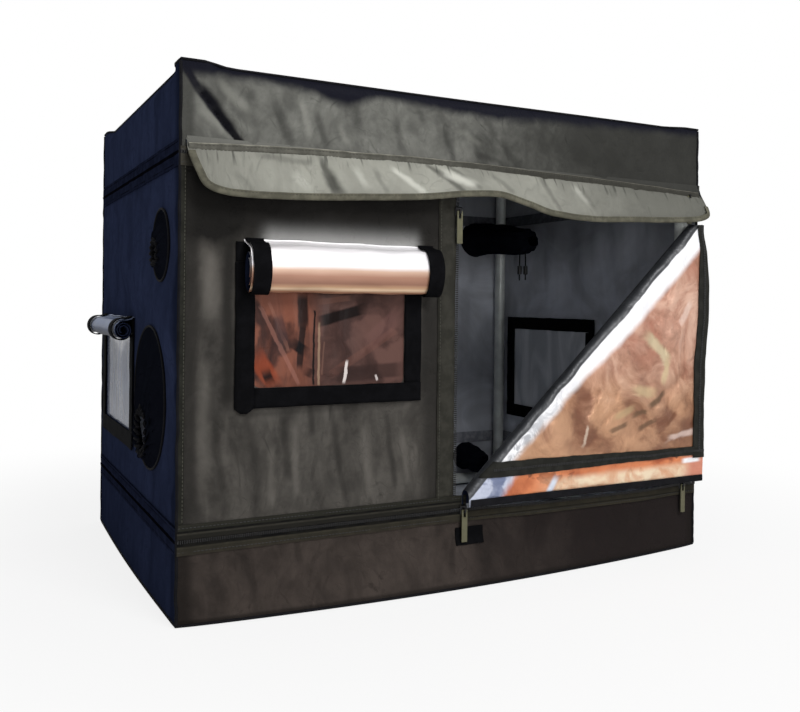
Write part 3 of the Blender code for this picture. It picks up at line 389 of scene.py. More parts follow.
def lining_foil(colours, scale=9):
    """The foil bonded to the inside of the cloth: crumpled facets and soft streaks painted light and dark as
    painted reflections, and painted shade making it darker under the roof.
    """
    finish = Finish("lining_foil", Specular_IOR_Level=0.5)
    where = finish.place("UV")
    crush = finish.grain(where, scale, 5, 0.55, 1.1)
    streaks = finish.grain(finish.place("UV", (1, 0.22, 1)), scale * 2, 3, 0.6, 0.4)
    facets = finish.node("TexVoronoi", {"feature": "SMOOTH_F1"}, {"Vector": where, "Scale": scale * 2.6})
    patch = finish.facets(where, scale * 1.6, 0.05, 0.35)
    light = finish.step(crush, 0.38, 0.62) * 0.45 + finish.step(streaks, 0.38, 0.62) * 0.2
    light = (light + patch * 0.4).held()
    lined = finish.mix(light, darker(colours.lining, 0.50), colours.lining)
    # Painted shade: the lining darkens high up under the roof.
    drift = finish.grain(finish.place("Object", (1, 1, 0.5)), 12, 4, 0.6) - 0.5
    high = finish.step(finish.spot()[1] + drift * 0.10, 0.370, 0.470)
    finish.set("Base Color", finish.mix(high * 0.6, lined, darker(colours.lining, 0.12)))
    finish.set("Metallic", light * 0.1)
    finish.set("Roughness", 0.45 + crush * 0.18)
    finish.bump(crush * 1.2 + facets * 0.8 + streaks * 0.5 + weave(finish, where) * 0.012, 0.004, 0.5)
    return finish


def tape_finish(name, paint, ribs=0.0011, gloss=0.06):
    """Narrow woven tape with ribs along it."""
    finish = Finish(name, Specular_IOR_Level=gloss)
    where = finish.place("Object")
    across, deep, up = finish.parts(where)
    turn = 2 * math.pi / ribs
    threads = ((across + deep) * turn).sine() * 0.5 + (up * turn).sine() * 0.5
    wear = finish.grain(where, 90, 4)
    light = (finish.step(wear, 0.35, 0.7) * 0.8 + threads * 0.12).held()
    finish.set("Base Color", finish.mix(light, darker(paint, 0.7), darker(paint, 1.25)))
    finish.set("Roughness", 0.6 + wear * 0.25)
    finish.bump(threads * 0.1 + wear * 0.4, 0.0008, 0.5)
    return finish


def smooth_finish(name, paint, rough, metal=0.0, scale=60, depth=0.0004, worn=1.35):
    """Metal, lacquer or moulded plastic: a fine grain, scuffs and a slight change of gloss."""
    finish = Finish(name, Metallic=metal)
    where = finish.place("Object")
    fine = finish.grain(where, scale * 12, 2)
    broad = finish.grain(where, scale, 4, 0.6, 0.3)
    scuff = finish.step(finish.grain(where, scale * 3, 6, 0.7), 0.58, 0.72)
    tone = finish.mix(finish.step(broad, 0.3, 0.7), darker(paint, 0.86), darker(paint, 1.08))
    finish.set("Base Color", finish.mix(scuff * 0.35, tone, darker(paint, worn)))
    finish.set("Roughness", rough + broad * 0.12 + scuff * 0.1)
    finish.bump(fine * 0.3 + broad * 0.7, depth, 0.4)
    return finish


# Modelling
def deselect():
    if bpy.context.object and bpy.context.object.mode != "OBJECT":
        bpy.ops.object.mode_set(mode="OBJECT")
    bpy.ops.object.select_all(action="DESELECT")


def activate(piece):
    deselect()
    piece.select_set(True)
    bpy.context.view_layer.objects.active = piece


def added(name):
    """The primitive that has just been added, under its own name."""
    piece = bpy.context.object
    piece.name = piece.data.name = name
    return piece


def apply(piece, kind, **settings):
    """Adds one modifier, sets it and applies it."""
    activate(piece)
    modifier = piece.modifiers.new(kind.title(), kind)
    for name, value in settings.items():
        setattr(modifier, name, value)
    bpy.ops.object.modifier_apply(modifier=modifier.name)
    return piece


def smooth(piece, degrees=40):
    activate(piece)
    bpy.ops.object.shade_smooth_by_angle(angle=math.radians(degrees))
    return piece


def join(pieces, name):
    """Several pieces made one, under a new name."""
    deselect()
    for piece in pieces:
        piece.select_set(True)
    bpy.context.view_layer.objects.active = pieces[0]
    bpy.ops.object.join()
    return added(name)


def sheet(name, columns, rows, place, size=None):
    """A grid whose points are laid by place(across, up), both from 0 to 1. Its UV map is in metres of cloth."""
    deselect()
    bpy.ops.mesh.primitive_grid_add(x_subdivisions=columns, y_subdivisions=rows, size=2)
    piece = added(name)
    for point in piece.data.vertices:
        point.co = place((point.co.x + 1) / 2, (point.co.y + 1) / 2)
    if size is None:
        count = columns + 1
        co = [point.co.copy() for point in piece.data.vertices]
        middle, side = (rows // 2) * count, columns // 2
        wide = sum((co[middle + i + 1] - co[middle + i]).length for i in range(columns))
        tall = sum((co[(j + 1) * count + side] - co[j * count + side]).length for j in range(rows))
        size = (wide, tall)
    for corner in piece.data.uv_layers.active.data:
        corner.uv = (corner.uv[0] * size[0], corner.uv[1] * size[1])
    for face in piece.data.polygons:
        face.use_smooth = True
    return piece


def remove_faces(piece, unwanted):
    """Deletes the faces whose middle unwanted() picks."""
    activate(piece)
    bpy.ops.object.mode_set(mode="EDIT")
    bpy.ops.mesh.select_mode(type="FACE")
    bpy.ops.mesh.select_all(action="DESELECT")
    bpy.ops.object.mode_set(mode="OBJECT")
    for face in piece.data.polygons:
        face.select = bool(unwanted(face.center))
    bpy.ops.object.mode_set(mode="EDIT")
    bpy.ops.mesh.delete(type="FACE")
    bpy.ops.object.mode_set(mode="OBJECT")


def facing(piece, way, chosen=lambda face: True):
    """Turns a sheet over if its chosen faces look away from a direction."""
    way = Vector(way)
    if sum(face.normal.dot(way) * face.area for face in piece.data.polygons if chosen(face)) < 0:
        activate(piece)
        bpy.ops.object.mode_set(mode="EDIT")
        bpy.ops.mesh.select_all(action="SELECT")
        bpy.ops.mesh.flip_normals()
        bpy.ops.object.mode_set(mode="OBJECT")
    return piece


def thicken(piece, thickness=None, levels=0, inside=True):
    """Rounds a sheet's cells and gives it its thickness, inwards, with the lining as its second slot."""
    thickness = thickness or bpy.context.scene.tent_sizes.cloth
    if levels:
        apply(piece, "SUBSURF", levels=levels, render_levels=levels)
    for _ in range(2 if inside else 1):
        piece.data.materials.append(None)
    apply(piece, "SOLIDIFY", thickness=thickness, offset=-1.0, material_offset=1 if inside else 0)
    return smooth(piece, 60)


def fit(piece, slot, *finishes, body=None, node=None):
    """Gives a piece its materials, rides it on its body, by default the tent, and puts it in the place of a
    node. The record's slot that it takes its finish from is passed as slot, which is not used."""
    for place, finish in enumerate(finishes):
        if place < len(piece.data.materials):
            piece.data.materials[place] = FINISHES[finish].material
        else:
            piece.data.materials.append(FINISHES[finish].material)
    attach(piece, body or ROOT)
    if node:
        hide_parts(node)
    return piece


def tube(name, points, radius, sides=3, cyclic=False, smooth_line=True):
    """A round cord along points, as a curve of one spline."""
    curve = bpy.data.curves.new(name, "CURVE")
    curve.dimensions = "3D"
    curve.bevel_depth = radius
    curve.bevel_resolution = sides
    curve.use_fill_caps = True
    spline = curve.splines.new("POLY")
    spline.points.add(len(points) - 1)
    for point, place in zip(spline.points, points):
        point.co = (*place, 1)
    spline.use_cyclic_u = cyclic
    spline.use_smooth = smooth_line
    piece = bpy.data.objects.new(name, curve)
    bpy.context.scene.collection.objects.link(piece)
    return piece


def to_mesh(piece):
    activate(piece)
    bpy.ops.object.convert(target="MESH")
    return bpy.context.object


def along(points, spacing):
    """Places and directions at an even spacing on a line of points."""
    points = [Vector(point) for point in points]
    found, left = [], spacing / 2
    for start, end in zip(points, points[1:]):
        length = (end - start).length
        if length < 1e-9:
            continue
        while left <= length:
            found.append((start + (end - start) * (left / length), (end - start) / length))
            left += spacing
        left -= length
    return found


def runs(name, points, spacing, piece_size, finish, slot, out=(0, -1, 0), body=None):
    """Small blocks, such as stitches or teeth, one after another on a line, facing out."""
    deselect()
    bpy.ops.mesh.primitive_cube_add(size=1)
    block = added(name)
    block.scale = piece_size
    bpy.ops.object.transform_apply(location=True, rotation=True, scale=True)
    apply(block, "BEVEL", width=min(piece_size) * 0.42, segments=1)
    corners = [point.co.copy() for point in block.data.vertices]
    faces = [tuple(face.vertices) for face in block.data.polygons]
    points_all, faces_all = [], []
    facing = Vector(out).normalized()
    for place, way in along(points, spacing):
        side = way.cross(facing).normalized()
        first = len(points_all)
        points_all += [place + way * c.x + side * c.y + facing * c.z for c in corners]
        flip = way.cross(side).dot(facing) < 0
        faces_all += [tuple(first + i for i in (reversed(face) if flip else face)) for face in faces]
    block.data.clear_geometry()
    block.data.from_pydata(points_all, [], faces_all)
    block.data.update()
    fit(block, slot, finish, body=body)


def stitches(name, points, slot, **fitting):
    """A row of stitches along a line."""
    pitch = bpy.context.scene.tent_sizes.stitch
    runs(name, points, pitch, (pitch * 0.62, 0.0008, 0.0006), "stitch", slot, **fitting)


def settle(piece, pinned, slack, seed, limit):
    """Lets a sheet hang a little, held where pinned() says, and keeps each point within limit of its place."""
    frames = bpy.context.scene.tent_sizes.settle_frames
    chance = random.Random(seed)
    rest = [point.co.copy() for point in piece.data.vertices]
    group = piece.vertex_groups.new(name="pins")
    for point in piece.data.vertices:
        if pinned(point.co):
            group.add([point.index], 1.0, "REPLACE")
        else:
            point.co += Vector([chance.uniform(-0.0008, 0.0008) for _ in range(3)])
    activate(piece)
    modifier = piece.modifiers.new("Cloth", "CLOTH")
    cloth = modifier.settings
    cloth.quality, cloth.mass = 6, 0.3
    cloth.tension_stiffness = cloth.compression_stiffness = cloth.shear_stiffness = 40
    cloth.bending_stiffness = 2
    cloth.vertex_group_mass = "pins"
    cloth.shrink_min = -slack
    cloth.effector_weights.gravity = 0.25
    modifier.collision_settings.use_self_collision = False
    modifier.point_cache.frame_start, modifier.point_cache.frame_end = 1, frames
    for step in range(1, frames + 1):
        bpy.context.scene.frame_set(step)
    bpy.ops.object.modifier_apply(modifier=modifier.name)
    bpy.context.scene.frame_set(1)
    for point, start in zip(piece.data.vertices, rest):
        moved = point.co - start
        if moved.length > 1e-7:
            point.co = start + moved * (math.tanh(moved.length / limit) * limit / moved.length)
    piece.vertex_groups.clear()
    return piece


def ripple(place, scale, seed=0.0, octaves=3):
    """Smooth noise from about -1 to 1."""
    return noise.fractal(Vector(place) * scale + Vector((seed, seed * 1.7, -seed)), 0.6, 2.0, octaves)


def dome(across, up):
    """1 in the middle of a sheet and 0 along its edges."""
    return math.sin(math.pi * across) * math.sin(math.pi * up)


def ease(value, low, high):
    """0 below low and 1 above high, smooth between them."""
    share = min(max((value - low) / (high - low), 0.0), 1.0)
    return share * share * (3 - 2 * share)


def crease(place, start, end, width, height, sharp):
    """Height of a fold that runs from start to end, both on the sheet's own two axes."""
    line = Vector(end) - Vector(start)
    share = (Vector(place) - Vector(start)).dot(line) / line.length_squared
    if not -0.15 < share < 1.15:
        return 0.0
    nearest = Vector(start) + line * min(max(share, 0), 1)
    away = (Vector(place) - nearest).length / width
    fade = ease(share, -0.15, 0.1) * (1 - ease(share, 0.9, 1.15))
    return height * fade * math.exp(-(away**sharp) * 2)


def folded(place, table):
    """A table's folds added up. A row holds a fold's two ends, its width and its height, in millimetres, and
    how sharp it is."""
    total = 0.0
    for a, z, to_a, to_z, width, height, sharp in table:
        start, end = (a / 1000, z / 1000), (to_a / 1000, to_z / 1000)
        total += crease(place, start, end, width / 1000, height / 1000, sharp)
    return total


def on_line(table, value):
    """Height of a line given as places and heights, in a smooth curve through them."""
    places = [place for place, _ in table]
    heights = [height for _, height in table]
    value = min(max(value, places[0]), places[-1])
    last = len(table) - 2
    i = min(sum(place <= value for place in places) - 1, last)
    gaps = [(b - a) / (d - c) for a, b, c, d in zip(heights, heights[1:], places, places[1:])]

    def slope(at):
        if at in (0, last + 1):
            return gaps[min(at, last)]
        before, after = gaps[at - 1], gaps[at]
        return 0.0 if before * after <= 0 else 2 * before * after / (before + after)

    wide = places[i + 1] - places[i]
    share = (value - places[i]) / wide
    start, end = heights[i], heights[i + 1]
    square, cube = share**2, share**3
    return (
        start * (2 * cube - 3 * square + 1) + end * (3 * square - 2 * cube)
        + wide * (slope(i) * (cube - 2 * square + share) + slope(i + 1) * (cube - square))
    )


# Sides of the tent: where a place across and up a side lies, pushed out by some distance
ROOT = next(iter(frame["bodies"]))

SIDES = {
    "front": lambda a, z, out=0.0: Vector((a, FRONT - out, z)),
    "left": lambda a, z, out=0.0: Vector((LEFT - out, -a, z)),
    "right": lambda a, z, out=0.0: Vector((RIGHT + out, a, z)),
    "back": lambda a, z, out=0.0: Vector((-a, BACK + out, z)),
}
# Half of each side's width
HALF = {"front": RIGHT, "left": BACK, "right": BACK, "back": RIGHT}


# Thickness of zip and binding tape, and how far it waves
TAPE = 0.0009
TAPE_WAVE = 0.0006


def strip(name, side, low, high, left, right, out, columns=60, lay=None):
    """A flat tape on one side of the tent, wider than tall."""
    lay = lay or SIDES[side]

    def place(across, up):
        a = left + (right - left) * across
        z = low + (high - low) * up
        return lay(a, z, out + TAPE_WAVE * (1 + ripple((a, z, len(name)), 30)))

    piece = sheet(name, columns, 3, place)
    return apply(piece, "SOLIDIFY", thickness=TAPE, offset=1.0)


class Maker(bpy.types.Operator):
    """Base of the tent's operators: each makes one group of pieces and raises an error if it can't."""

    bl_options = {"REGISTER", "UNDO"}

    def execute(self, context):
        self.make(context.scene.tent_sizes, context.scene.tent_colours)
        return {"FINISHED"}

    def make(self, sizes, colours):
        raise NotImplementedError


FINISHES = {}


class MakeFinishes(Maker):
    """Makes the materials that the pieces share"""

    bl_idname = "tent.make_finishes"
    bl_label = "Finishes"

    def make(self, sizes, colours):
        f = FINISHES
        f["front"] = front_cloth(colours)
        # The walls' cloth is the front's black cloth painted darker and bluer as shaded; it darkens further
        # towards the front corner and the foot as painted shade.
        f["side"] = cloth_finish("side_cloth", colours.side, contrast=0.45, gloss=0.0)
        side = f["side"]
        _, deep, up = side.parts(side.place("Object"))
        edge = (side.step(deep, FRONT + 0.030, FRONT + 0.008) + side.step(up, 0.26, 0.06) * 0.5).held()
        side.set("Base Color", side.mix(edge * 0.75, side.painted(), darker(colours.side, 0.25)))
        f["flap"] = flap_cloth(colours)
        f["roof"] = roof_cloth(colours)
        f["base"] = base_cloth(colours)
        f["lining"] = lining_foil(colours)
        f["silver"] = side_roll_foil()
        f["tape"] = tape_finish("zip_tape", colours.tape)
        f["base_tape"] = base_zip_tape(colours)
        f["teeth"] = smooth_finish("zip_teeth", shade(26, 26, 27), 0.42, scale=90)
        f["hook"] = tape_finish("hook_tape", colours.hook, ribs=0.0016, gloss=0.02)
        # The sides' zip tape and teeth are the front's, painted darker and bluer as shaded.
        f["side_tape"] = tape_finish("side_zip_tape", shade(32, 37, 56), gloss=0.0)
        f["side_teeth"] = tape_finish("side_zip_teeth", shade(12, 12, 18), gloss=0.0)
        # Of these tapes, the inner roof tape is painted darker than the inner base tape as shade high inside,
        # and the flap's binding, its seam's binding and its piping are painted pale as lit with the flap, the
        # piping as a painted highlight along the seam's top.
        for name, tone in (
            ("inner_base_tape", (150, 152, 160)), ("inner_roof_tape", (86, 88, 94)),
            ("corner_binding", (36, 36, 32)), ("binding", (50, 49, 44)), ("flap_binding", (94, 92, 80)),
            ("roof_binding", (90, 89, 82)), ("flap_piping", (142, 140, 128)), ("door_zip_tape", (40, 40, 37)),
            ("dark_binding", (22, 22, 25)),
        ):
            f[name] = tape_finish(name, shade(*tone))
        f["lock"] = smooth_finish("cord_lock_plastic", shade(12, 12, 13), 0.4, scale=70)
        # Painted shade: the flap seam's binding and piping darken towards the right, where the light falls off.
        for name, tone in (("roof_binding", shade(50, 49, 45)), ("flap_piping", shade(90, 88, 80))):
            finish = f[name]
            dim = finish.step(finish.spot()[0], -0.2, 0.12) * 0.85
            finish.set("Base Color", finish.mix(dim, finish.painted(), tone))
        f["stitch"] = smooth_finish("thread", shade(60, 59, 50), 0.7, scale=200)
        f["sleeve"] = cloth_finish("sleeve_cloth", colours.sleeve, "Object", contrast=0.35, gloss=0.0)
        f["pole"] = smooth_finish("pole_coating", colours.pole, 0.34, metal=0.15, scale=40, depth=0.0002)
        # The slider's scuffs, three times as bright as its black metal, are worn metal and painted glints.
        f["metal"] = smooth_finish("slider_metal", shade(34, 34, 36), 0.22, metal=0.6, worn=3.0)
        f["puller"] = smooth_finish("puller_metal", colours.puller, 0.38, metal=0.3, worn=1.3)
        f["plastic"] = smooth_finish("fitting_plastic", colours.plastic, 0.45, scale=70)
        f["cord"] = tape_finish("cord_braid", shade(10, 10, 11), ribs=0.0014)
        f["film"] = film_finish("clear_film", colours.film, darker(colours.film, 0.7))
        # Painted light: the inner film is near white for the light that comes through it from outside.
        f["inner_film"] = film_finish("inner_film", shade(236, 238, 242), shade(196, 200, 206))
        f["warm_film"] = warm_film()
        f["door_foil"] = door_foil(colours)
        f["front_roll"] = roll_foil(colours)


def roll_foil(colours):
    """The front window's rolled cover: bright along its top as a painted highlight, warm below with painted
    reflections and painted shade, and a pale painted highlight on a fold.
    """
    finish = Finish("front_roll_foil", Specular_IOR_Level=0.5)
    _, up = finish.spot()
    crush = finish.grain(finish.place("Object", (0.3, 1, 1)), 30, 3, 0.5, 0.5)
    height = up + (crush - 0.5) * 0.004
    # Painted light by height: copper in painted shade at the foot, a pale painted highlight low on the curve
    # and the white painted highlight along the top.
    stops = (
        (0.0, shade(132, 88, 65)), (0.10, shade(164, 116, 88)), (0.15, shade(232, 204, 170)),
        (0.19, shade(190, 150, 116)), (0.25, shade(138, 97, 77)), (0.38, shade(162, 119, 97)),
        (0.48, shade(204, 172, 150)), (0.56, colours.band), (1.0, colours.band),
    )
    share = finish.node("MapRange", sockets={"Value": height, "From Min": 0.350, "From Max": 0.4135})
    toned = finish.node("ValToRGB", {"stops": stops}, {"Fac": share})
    finish.set("Base Color", finish.mix(crush * 0.18, toned, shade(206, 160, 144)))
    finish.set("Metallic", 0.2 + crush * 0.1)
    finish.set("Roughness", 0.34 + crush * 0.2)
    finish.bump(crush, 0.002, 0.4)
    return finish


def side_roll_foil():
    """The side window's rolled cover: pale on top as painted light, blue and dark below as painted shade."""
    finish = Finish("side_roll_foil", Specular_IOR_Level=0.4)
    _, up = finish.spot()
    crush = finish.grain(finish.place("Object", (1, 0.4, 1)), 50, 3, 0.5, 0.5)
    # Painted light on the roll's top and painted shade below it.
    lit = finish.step(up + (crush - 0.5) * 0.008, 0.296, 0.316)
    finish.set("Base Color", finish.mix(lit, shade(28, 35, 60), shade(116, 132, 166)))
    finish.set("Metallic", 0.3 + crush * 0.2)
    finish.set("Roughness", 0.3 + crush * 0.2)
    finish.bump(crush, 0.003, 0.5)
    return finish


def base_zip_tape(colours):
    """The base zip's tape on the front: olive rows, a light ridge and the black run of its teeth, with painted
    shade beside them.
    """
    finish = tape_finish("base_zip_tape", colours.tape)
    across, up = finish.spot()
    wear = finish.grain(finish.place("Object"), 70, 3, 0.6)
    # The black runs are the teeth's own dark with painted shade beside them.
    stops = [
        (place, shade(*paint)) for place, paint in (
            (0.0, (50, 46, 39)), (0.20, (44, 42, 35)), (0.24, (56, 53, 44)), (0.28, (10, 10, 10)),
            (0.47, (8, 8, 9)), (0.50, (29, 28, 25)), (0.60, (30, 29, 26)), (0.645, (54, 52, 46)),
            (0.69, (12, 12, 12)), (0.73, (14, 14, 13)), (0.76, (36, 36, 31)), (1.0, (42, 41, 36)),
        )
    ]
    sockets = {"Value": up + (wear - 0.5) * 0.0012, "From Min": 0.0755, "From Max": 0.1105}
    rows = finish.node("ValToRGB", {"stops": stops}, {"Fac": finish.node("MapRange", sockets=sockets)})
    stripe = finish.step((up - 0.0795).size(), 0.0012, 0.0005) + finish.step(up, 0.0862, 0.0875)
    opened = finish.mix(stripe.held() * 0.7, shade(48, 45, 37), shade(15, 14, 12))
    toned = finish.mix(finish.step(across, -0.020, -0.012), rows, opened)
    finish.set("Base Color", finish.mix(finish.step(wear, 0.4, 0.6) * 0.4, toned, darker(colours.tape, 0.35)))
    return finish


def front_cloth(colours):
    """The front panel's cloth: painted shade under the flap, at its edges, beside the window and in its
    creases, painted highlights on its folds, and paler with painted light where the roll throws light on it.
    """
    finish = cloth_finish("front_cloth", colours.front, contrast=0.95, gloss=0.1)
    soft = finish.painted()
    across, up = finish.spot()
    sway = finish.grain(finish.place("Object", (1, 1, 0.5)), 15, 4, 0.6, 0.4) - 0.5
    # Painted shade in the creases and beside the window's frame.
    soft = finish.strokes(soft, across + sway * 0.012, up, 0.1, darker(colours.front, 0.22), (
        (-223.5, 232, -220, 196, 6, 0.6), (-199, 240, -179, 117, 6, 0.45), (-256, 215, -248, 150, 8, 0.5),
        (-128, 215, -118, 130, 6, 0.5), (-334, 220, -325, 140, 7, 0.45), (-290, 200, -286, 120, 9, 0.4),
        (-319, 415, -319, 232, 12, 0.88), (-305, 222, -100, 226, 7, 0.4), (-74, 400, -76, 240, 11, 0.55),
        (-359, 450, -356, 120, 9, 0.6),
    ))
    # Painted highlights on the folds.
    soft = finish.strokes(soft, across + sway * 0.016, up + sway * 0.02, 0.0, shade(112, 108, 102), (
        (-340, 330, -340, 400, 17, 0.55), (-240, 205, -238, 130, 7, 0.3), (-155, 200, -148, 120, 8, 0.3),
        (-345, 280, -345, 160, 12, 0.3), (-270, 180, -268, 120, 7, 0.3), (-108, 190, -100, 130, 6, 0.3),
    ))
    # Painted shadow under the flap and in the left corner below it.
    under = finish.step(up + sway * 0.030 - across * 0.02, 0.400, 0.438) * 0.95
    corner = finish.step(across, LEFT + 0.075, LEFT + 0.035) * finish.step(up + sway * 0.05, 0.385, 0.425) * 0.8
    under = (under + corner).held()
    soft = finish.mix(under, soft, darker(colours.front, 0.12))
    # Painted light that the roll throws on the cloth above it.
    roll_light = finish.step(up, 0.447, 0.407) * finish.step(across, -0.300, -0.268)
    roll_light = roll_light * finish.step(across, -0.068, -0.092) * finish.step(up, 0.36, 0.37)
    soft = finish.mix(roll_light * roll_light * 0.8, soft, shade(176, 176, 174))
    # Painted shade at the left edge and towards the right.
    left = finish.step(across, LEFT + 0.020, LEFT + 0.008) * 0.75
    right = finish.step(across + sway * 0.02, -0.094, -0.066) * 0.8
    soft = finish.mix((left + right).held(), soft, darker(colours.front, 0.2))
    finish.set("Base Color", soft)
    return finish


def flap_cloth(colours):
    """The light flap's cloth: pale as lit, with soft painted shadows in its dents and puckers, painted
    highlights on its folds, and painted shade dimming its two ends.
    """
    finish = cloth_finish("flap_cloth", colours.flap, contrast=0.36, streak=(1, 0.6, 1), gloss=0.12)
    soft = finish.painted()
    across, up = finish.spot()
    above = finish.attribute("above")
    sway = finish.grain(finish.place("Object", (1, 1, 1)), 30, 3, 0.6) - 0.5
    # Painted shadows in the dents.
    soft = finish.strokes(soft, across + sway * 0.014, up + sway * 0.006, 0.1, darker(colours.flap, 0.26), (
        (-218.5, 508, -211, 488, 6.4, 0.75), (-213, 492, -198, 466, 10.5, 0.97),
        (-80, 512, -32, 478, 6, 0.75), (-50, 512, -12, 486, 4.5, 0.6), (-290, 503, -230, 500, 6, 0.4),
        (85, 509, 112, 464, 7, 0.45), (-320, 480, -300, 462, 7, 0.3), (-150, 500, -140, 470, 6, 0.35),
        (10, 505, 40, 485, 6, 0.4), (150, 500, 170, 470, 8, 0.35),
    ))
    # Painted highlights on the folds.
    soft = finish.strokes(soft, across + sway * 0.010, up + sway * 0.006, 0.1, shade(206, 206, 196), (
        (-58, 502, -18, 490, 9, 0.7), (-128, 502, -88, 474, 6.5, 0.6), (-250, 485, -235, 470, 9, 0.3),
        (140, 500, 158, 478, 7, 0.5), (-176, 498, -165, 478, 8, 0.35),
    ))
    # Painted shade towards the right and at the left end.
    soft = finish.mix(finish.step(across + sway * 0.16, 0.04, 0.26) * 0.8, soft, darker(colours.flap, 0.36))
    soft = finish.mix(finish.step(across, -0.27, -0.36) * 0.4, soft, darker(colours.flap, 0.5))
    # Painted shade of the puckers under the seam.
    pucker_shade = finish.step(finish.grain(finish.place("Object", (1, 0, 0.12)), 130, 2, 0.5), 0.55, 0.66)
    pucker_shade = pucker_shade * finish.step(above + sway * 0.02, -0.026, -0.010)
    soft = finish.mix(pucker_shade * 0.7, soft, darker(colours.flap, 0.14))
    # Above the seam the cloth takes the roof band's colour, with its painted shade towards the right.
    band = finish.mix(finish.step(across, -0.10, 0.24) * 0.9, colours.roof, darker(colours.roof, 0.2))
    finish.set("Base Color", finish.mix(finish.step(above, -0.005, -0.003), soft, band))
    return finish


def roof_cloth(colours):
    """Cloth of the roof's front band: grey where it hangs, with painted shade over the pole, towards the right,
    at the left corner and in its creases, a painted shadow in the corner's fold and painted highlights on its
    folds.
    """
    finish = cloth_finish("roof_cloth", colours.roof, contrast=0.8, streak=(1, 0.7, 1), gloss=0.1)
    soft = finish.painted()
    across, up = finish.spot()
    sway = finish.grain(finish.place("Object", (1, 1, 0.8)), 22, 4, 0.6, 0.5) - 0.5
    # Painted shade in the creases.
    soft = finish.strokes(soft, across + sway * 0.014, up + sway * 0.010, 0.05, darker(colours.roof, 0.16), (
        (-270, 566, -248, 520, 9, 0.5), (-220, 560, -206, 522, 7, 0.45), (-120, 565, -110, 525, 8, 0.45),
        (-50, 560, -38, 516, 8, 0.55), (30, 550, 60, 518, 8, 0.45), (-5, 532, 35, 520, 6, 0.5),
        (-300, 575, -290, 560, 8, 0.3), (-170, 572, -164, 545, 9, 0.35), (10, 575, 20, 550, 8, 0.4),
        (-90, 580, -82, 560, 7, 0.35),
    ))
    # Painted highlights on the folds.
    soft = finish.strokes(soft, across + sway * 0.014, up + sway * 0.010, 0.05, shade(150, 150, 142), (
        (-352, 552, -318, 524, 9, 0.35), (-330, 580, -300, 552, 9, 0.35), (-236, 572, -226, 530, 7, 0.35),
        (-190, 550, -180, 524, 7, 0.3), (-30, 560, 0, 545, 7, 0.3), (130, 560, 150, 530, 7, 0.25),
    ))
    # Painted shade towards the right, where the light falls off, and at the left corner.
    soft = finish.mix(finish.step(across + sway * 0.3, -0.12, 0.20) * 0.92, soft, darker(colours.roof, 0.15))
    soft = finish.mix(finish.step(across, LEFT + 0.018, LEFT + 0.010) * 0.75, soft, darker(colours.roof, 0.25))
    # Painted shadow in the diagonal fold at the left corner.
    soft = finish.strokes(soft, across + sway * 0.003, up, 0.35, shade(16, 16, 24), (
        (-369, 594, -353, 568.7, 6.6, 0.96), (-353.5, 572, -333.5, 549.6, 8.8, 0.97),
        (-337.5, 554, -316.9, 529.9, 7.8, 0.96), (-321.5, 535, -298.5, 510, 4.8, 0.92),
    ))
    # Painted shade along the top, where the cloth turns back over the pole.
    rim = finish.attribute("rim") + sway * 0.014
    finish.set("Base Color", finish.mix(finish.step(rim, -0.0110, 0.0036), soft, shade(12, 13, 24)))
    return finish


def base_cloth(colours):
    """The tray's cloth, browner and darker towards its right end as painted shade, with painted shade in its
    creases, at its two ends and along its foot.
    """
    finish = cloth_finish("base_cloth", colours.base, contrast=0.8, streak=(1, 0.5, 1), gloss=0.08)
    soft = finish.painted()
    across, up = finish.spot()
    drift = finish.grain(finish.place("Object", (1, 1, 0.6)), 13, 4, 0.6, 0.5)
    # Painted shade: browner and darker towards the right end, where the light falls off.
    right = finish.step(across + (drift - 0.5) * 0.25, -0.12, 0.20) * 0.9
    soft = finish.mix(right, soft, darker(colours.base_painted_shade, 0.7))
    # Painted shade in the creases.
    soft = finish.strokes(soft, across + (drift - 0.5) * 0.02, up, 0.3, darker(colours.base, 0.3), (
        (-305, 72, -290, 30, 6, 0.4), (-240, 80, -236, 52, 7, 0.4), (-30, 60, -40, 20, 6, 0.4),
        (-335, 50, -328, 22, 6, 0.4),
    ))
    # Painted shade at the two ends and along the foot.
    ends = finish.step(across, LEFT + 0.022, LEFT + 0.008) * 0.8
    ends = ends + finish.step(across, RIGHT - 0.020, RIGHT - 0.006) * 0.6
    foot = finish.step(up, 0.008, 0.004) * 0.7
    finish.set("Base Color", finish.mix((ends + foot).held(), soft, darker(colours.base, 0.2)))
    return finish


def film_finish(name, light, dark):
    """Clear film with faint ripples, hazed by use."""
    finish = Finish(name, Specular_IOR_Level=0.6, Coat_Weight=0.4, Coat_Roughness=0.08)
    where = finish.place("Object")
    ripples = finish.grain(finish.place("Object", (1, 1, 0.35)), 22, 3, 0.5, 0.8)
    haze = finish.grain(where, 60, 4, 0.6)
    finish.set("Base Color", finish.mix(finish.step(ripples, 0.35, 0.65), dark, light))
    finish.set("Roughness", 0.12 + haze * 0.2)
    finish.set("Alpha", 0.86 + haze * 0.1)
    finish.bump(ripples * 1.0 + haze * 0.1, 0.003, 0.4)
    return finish


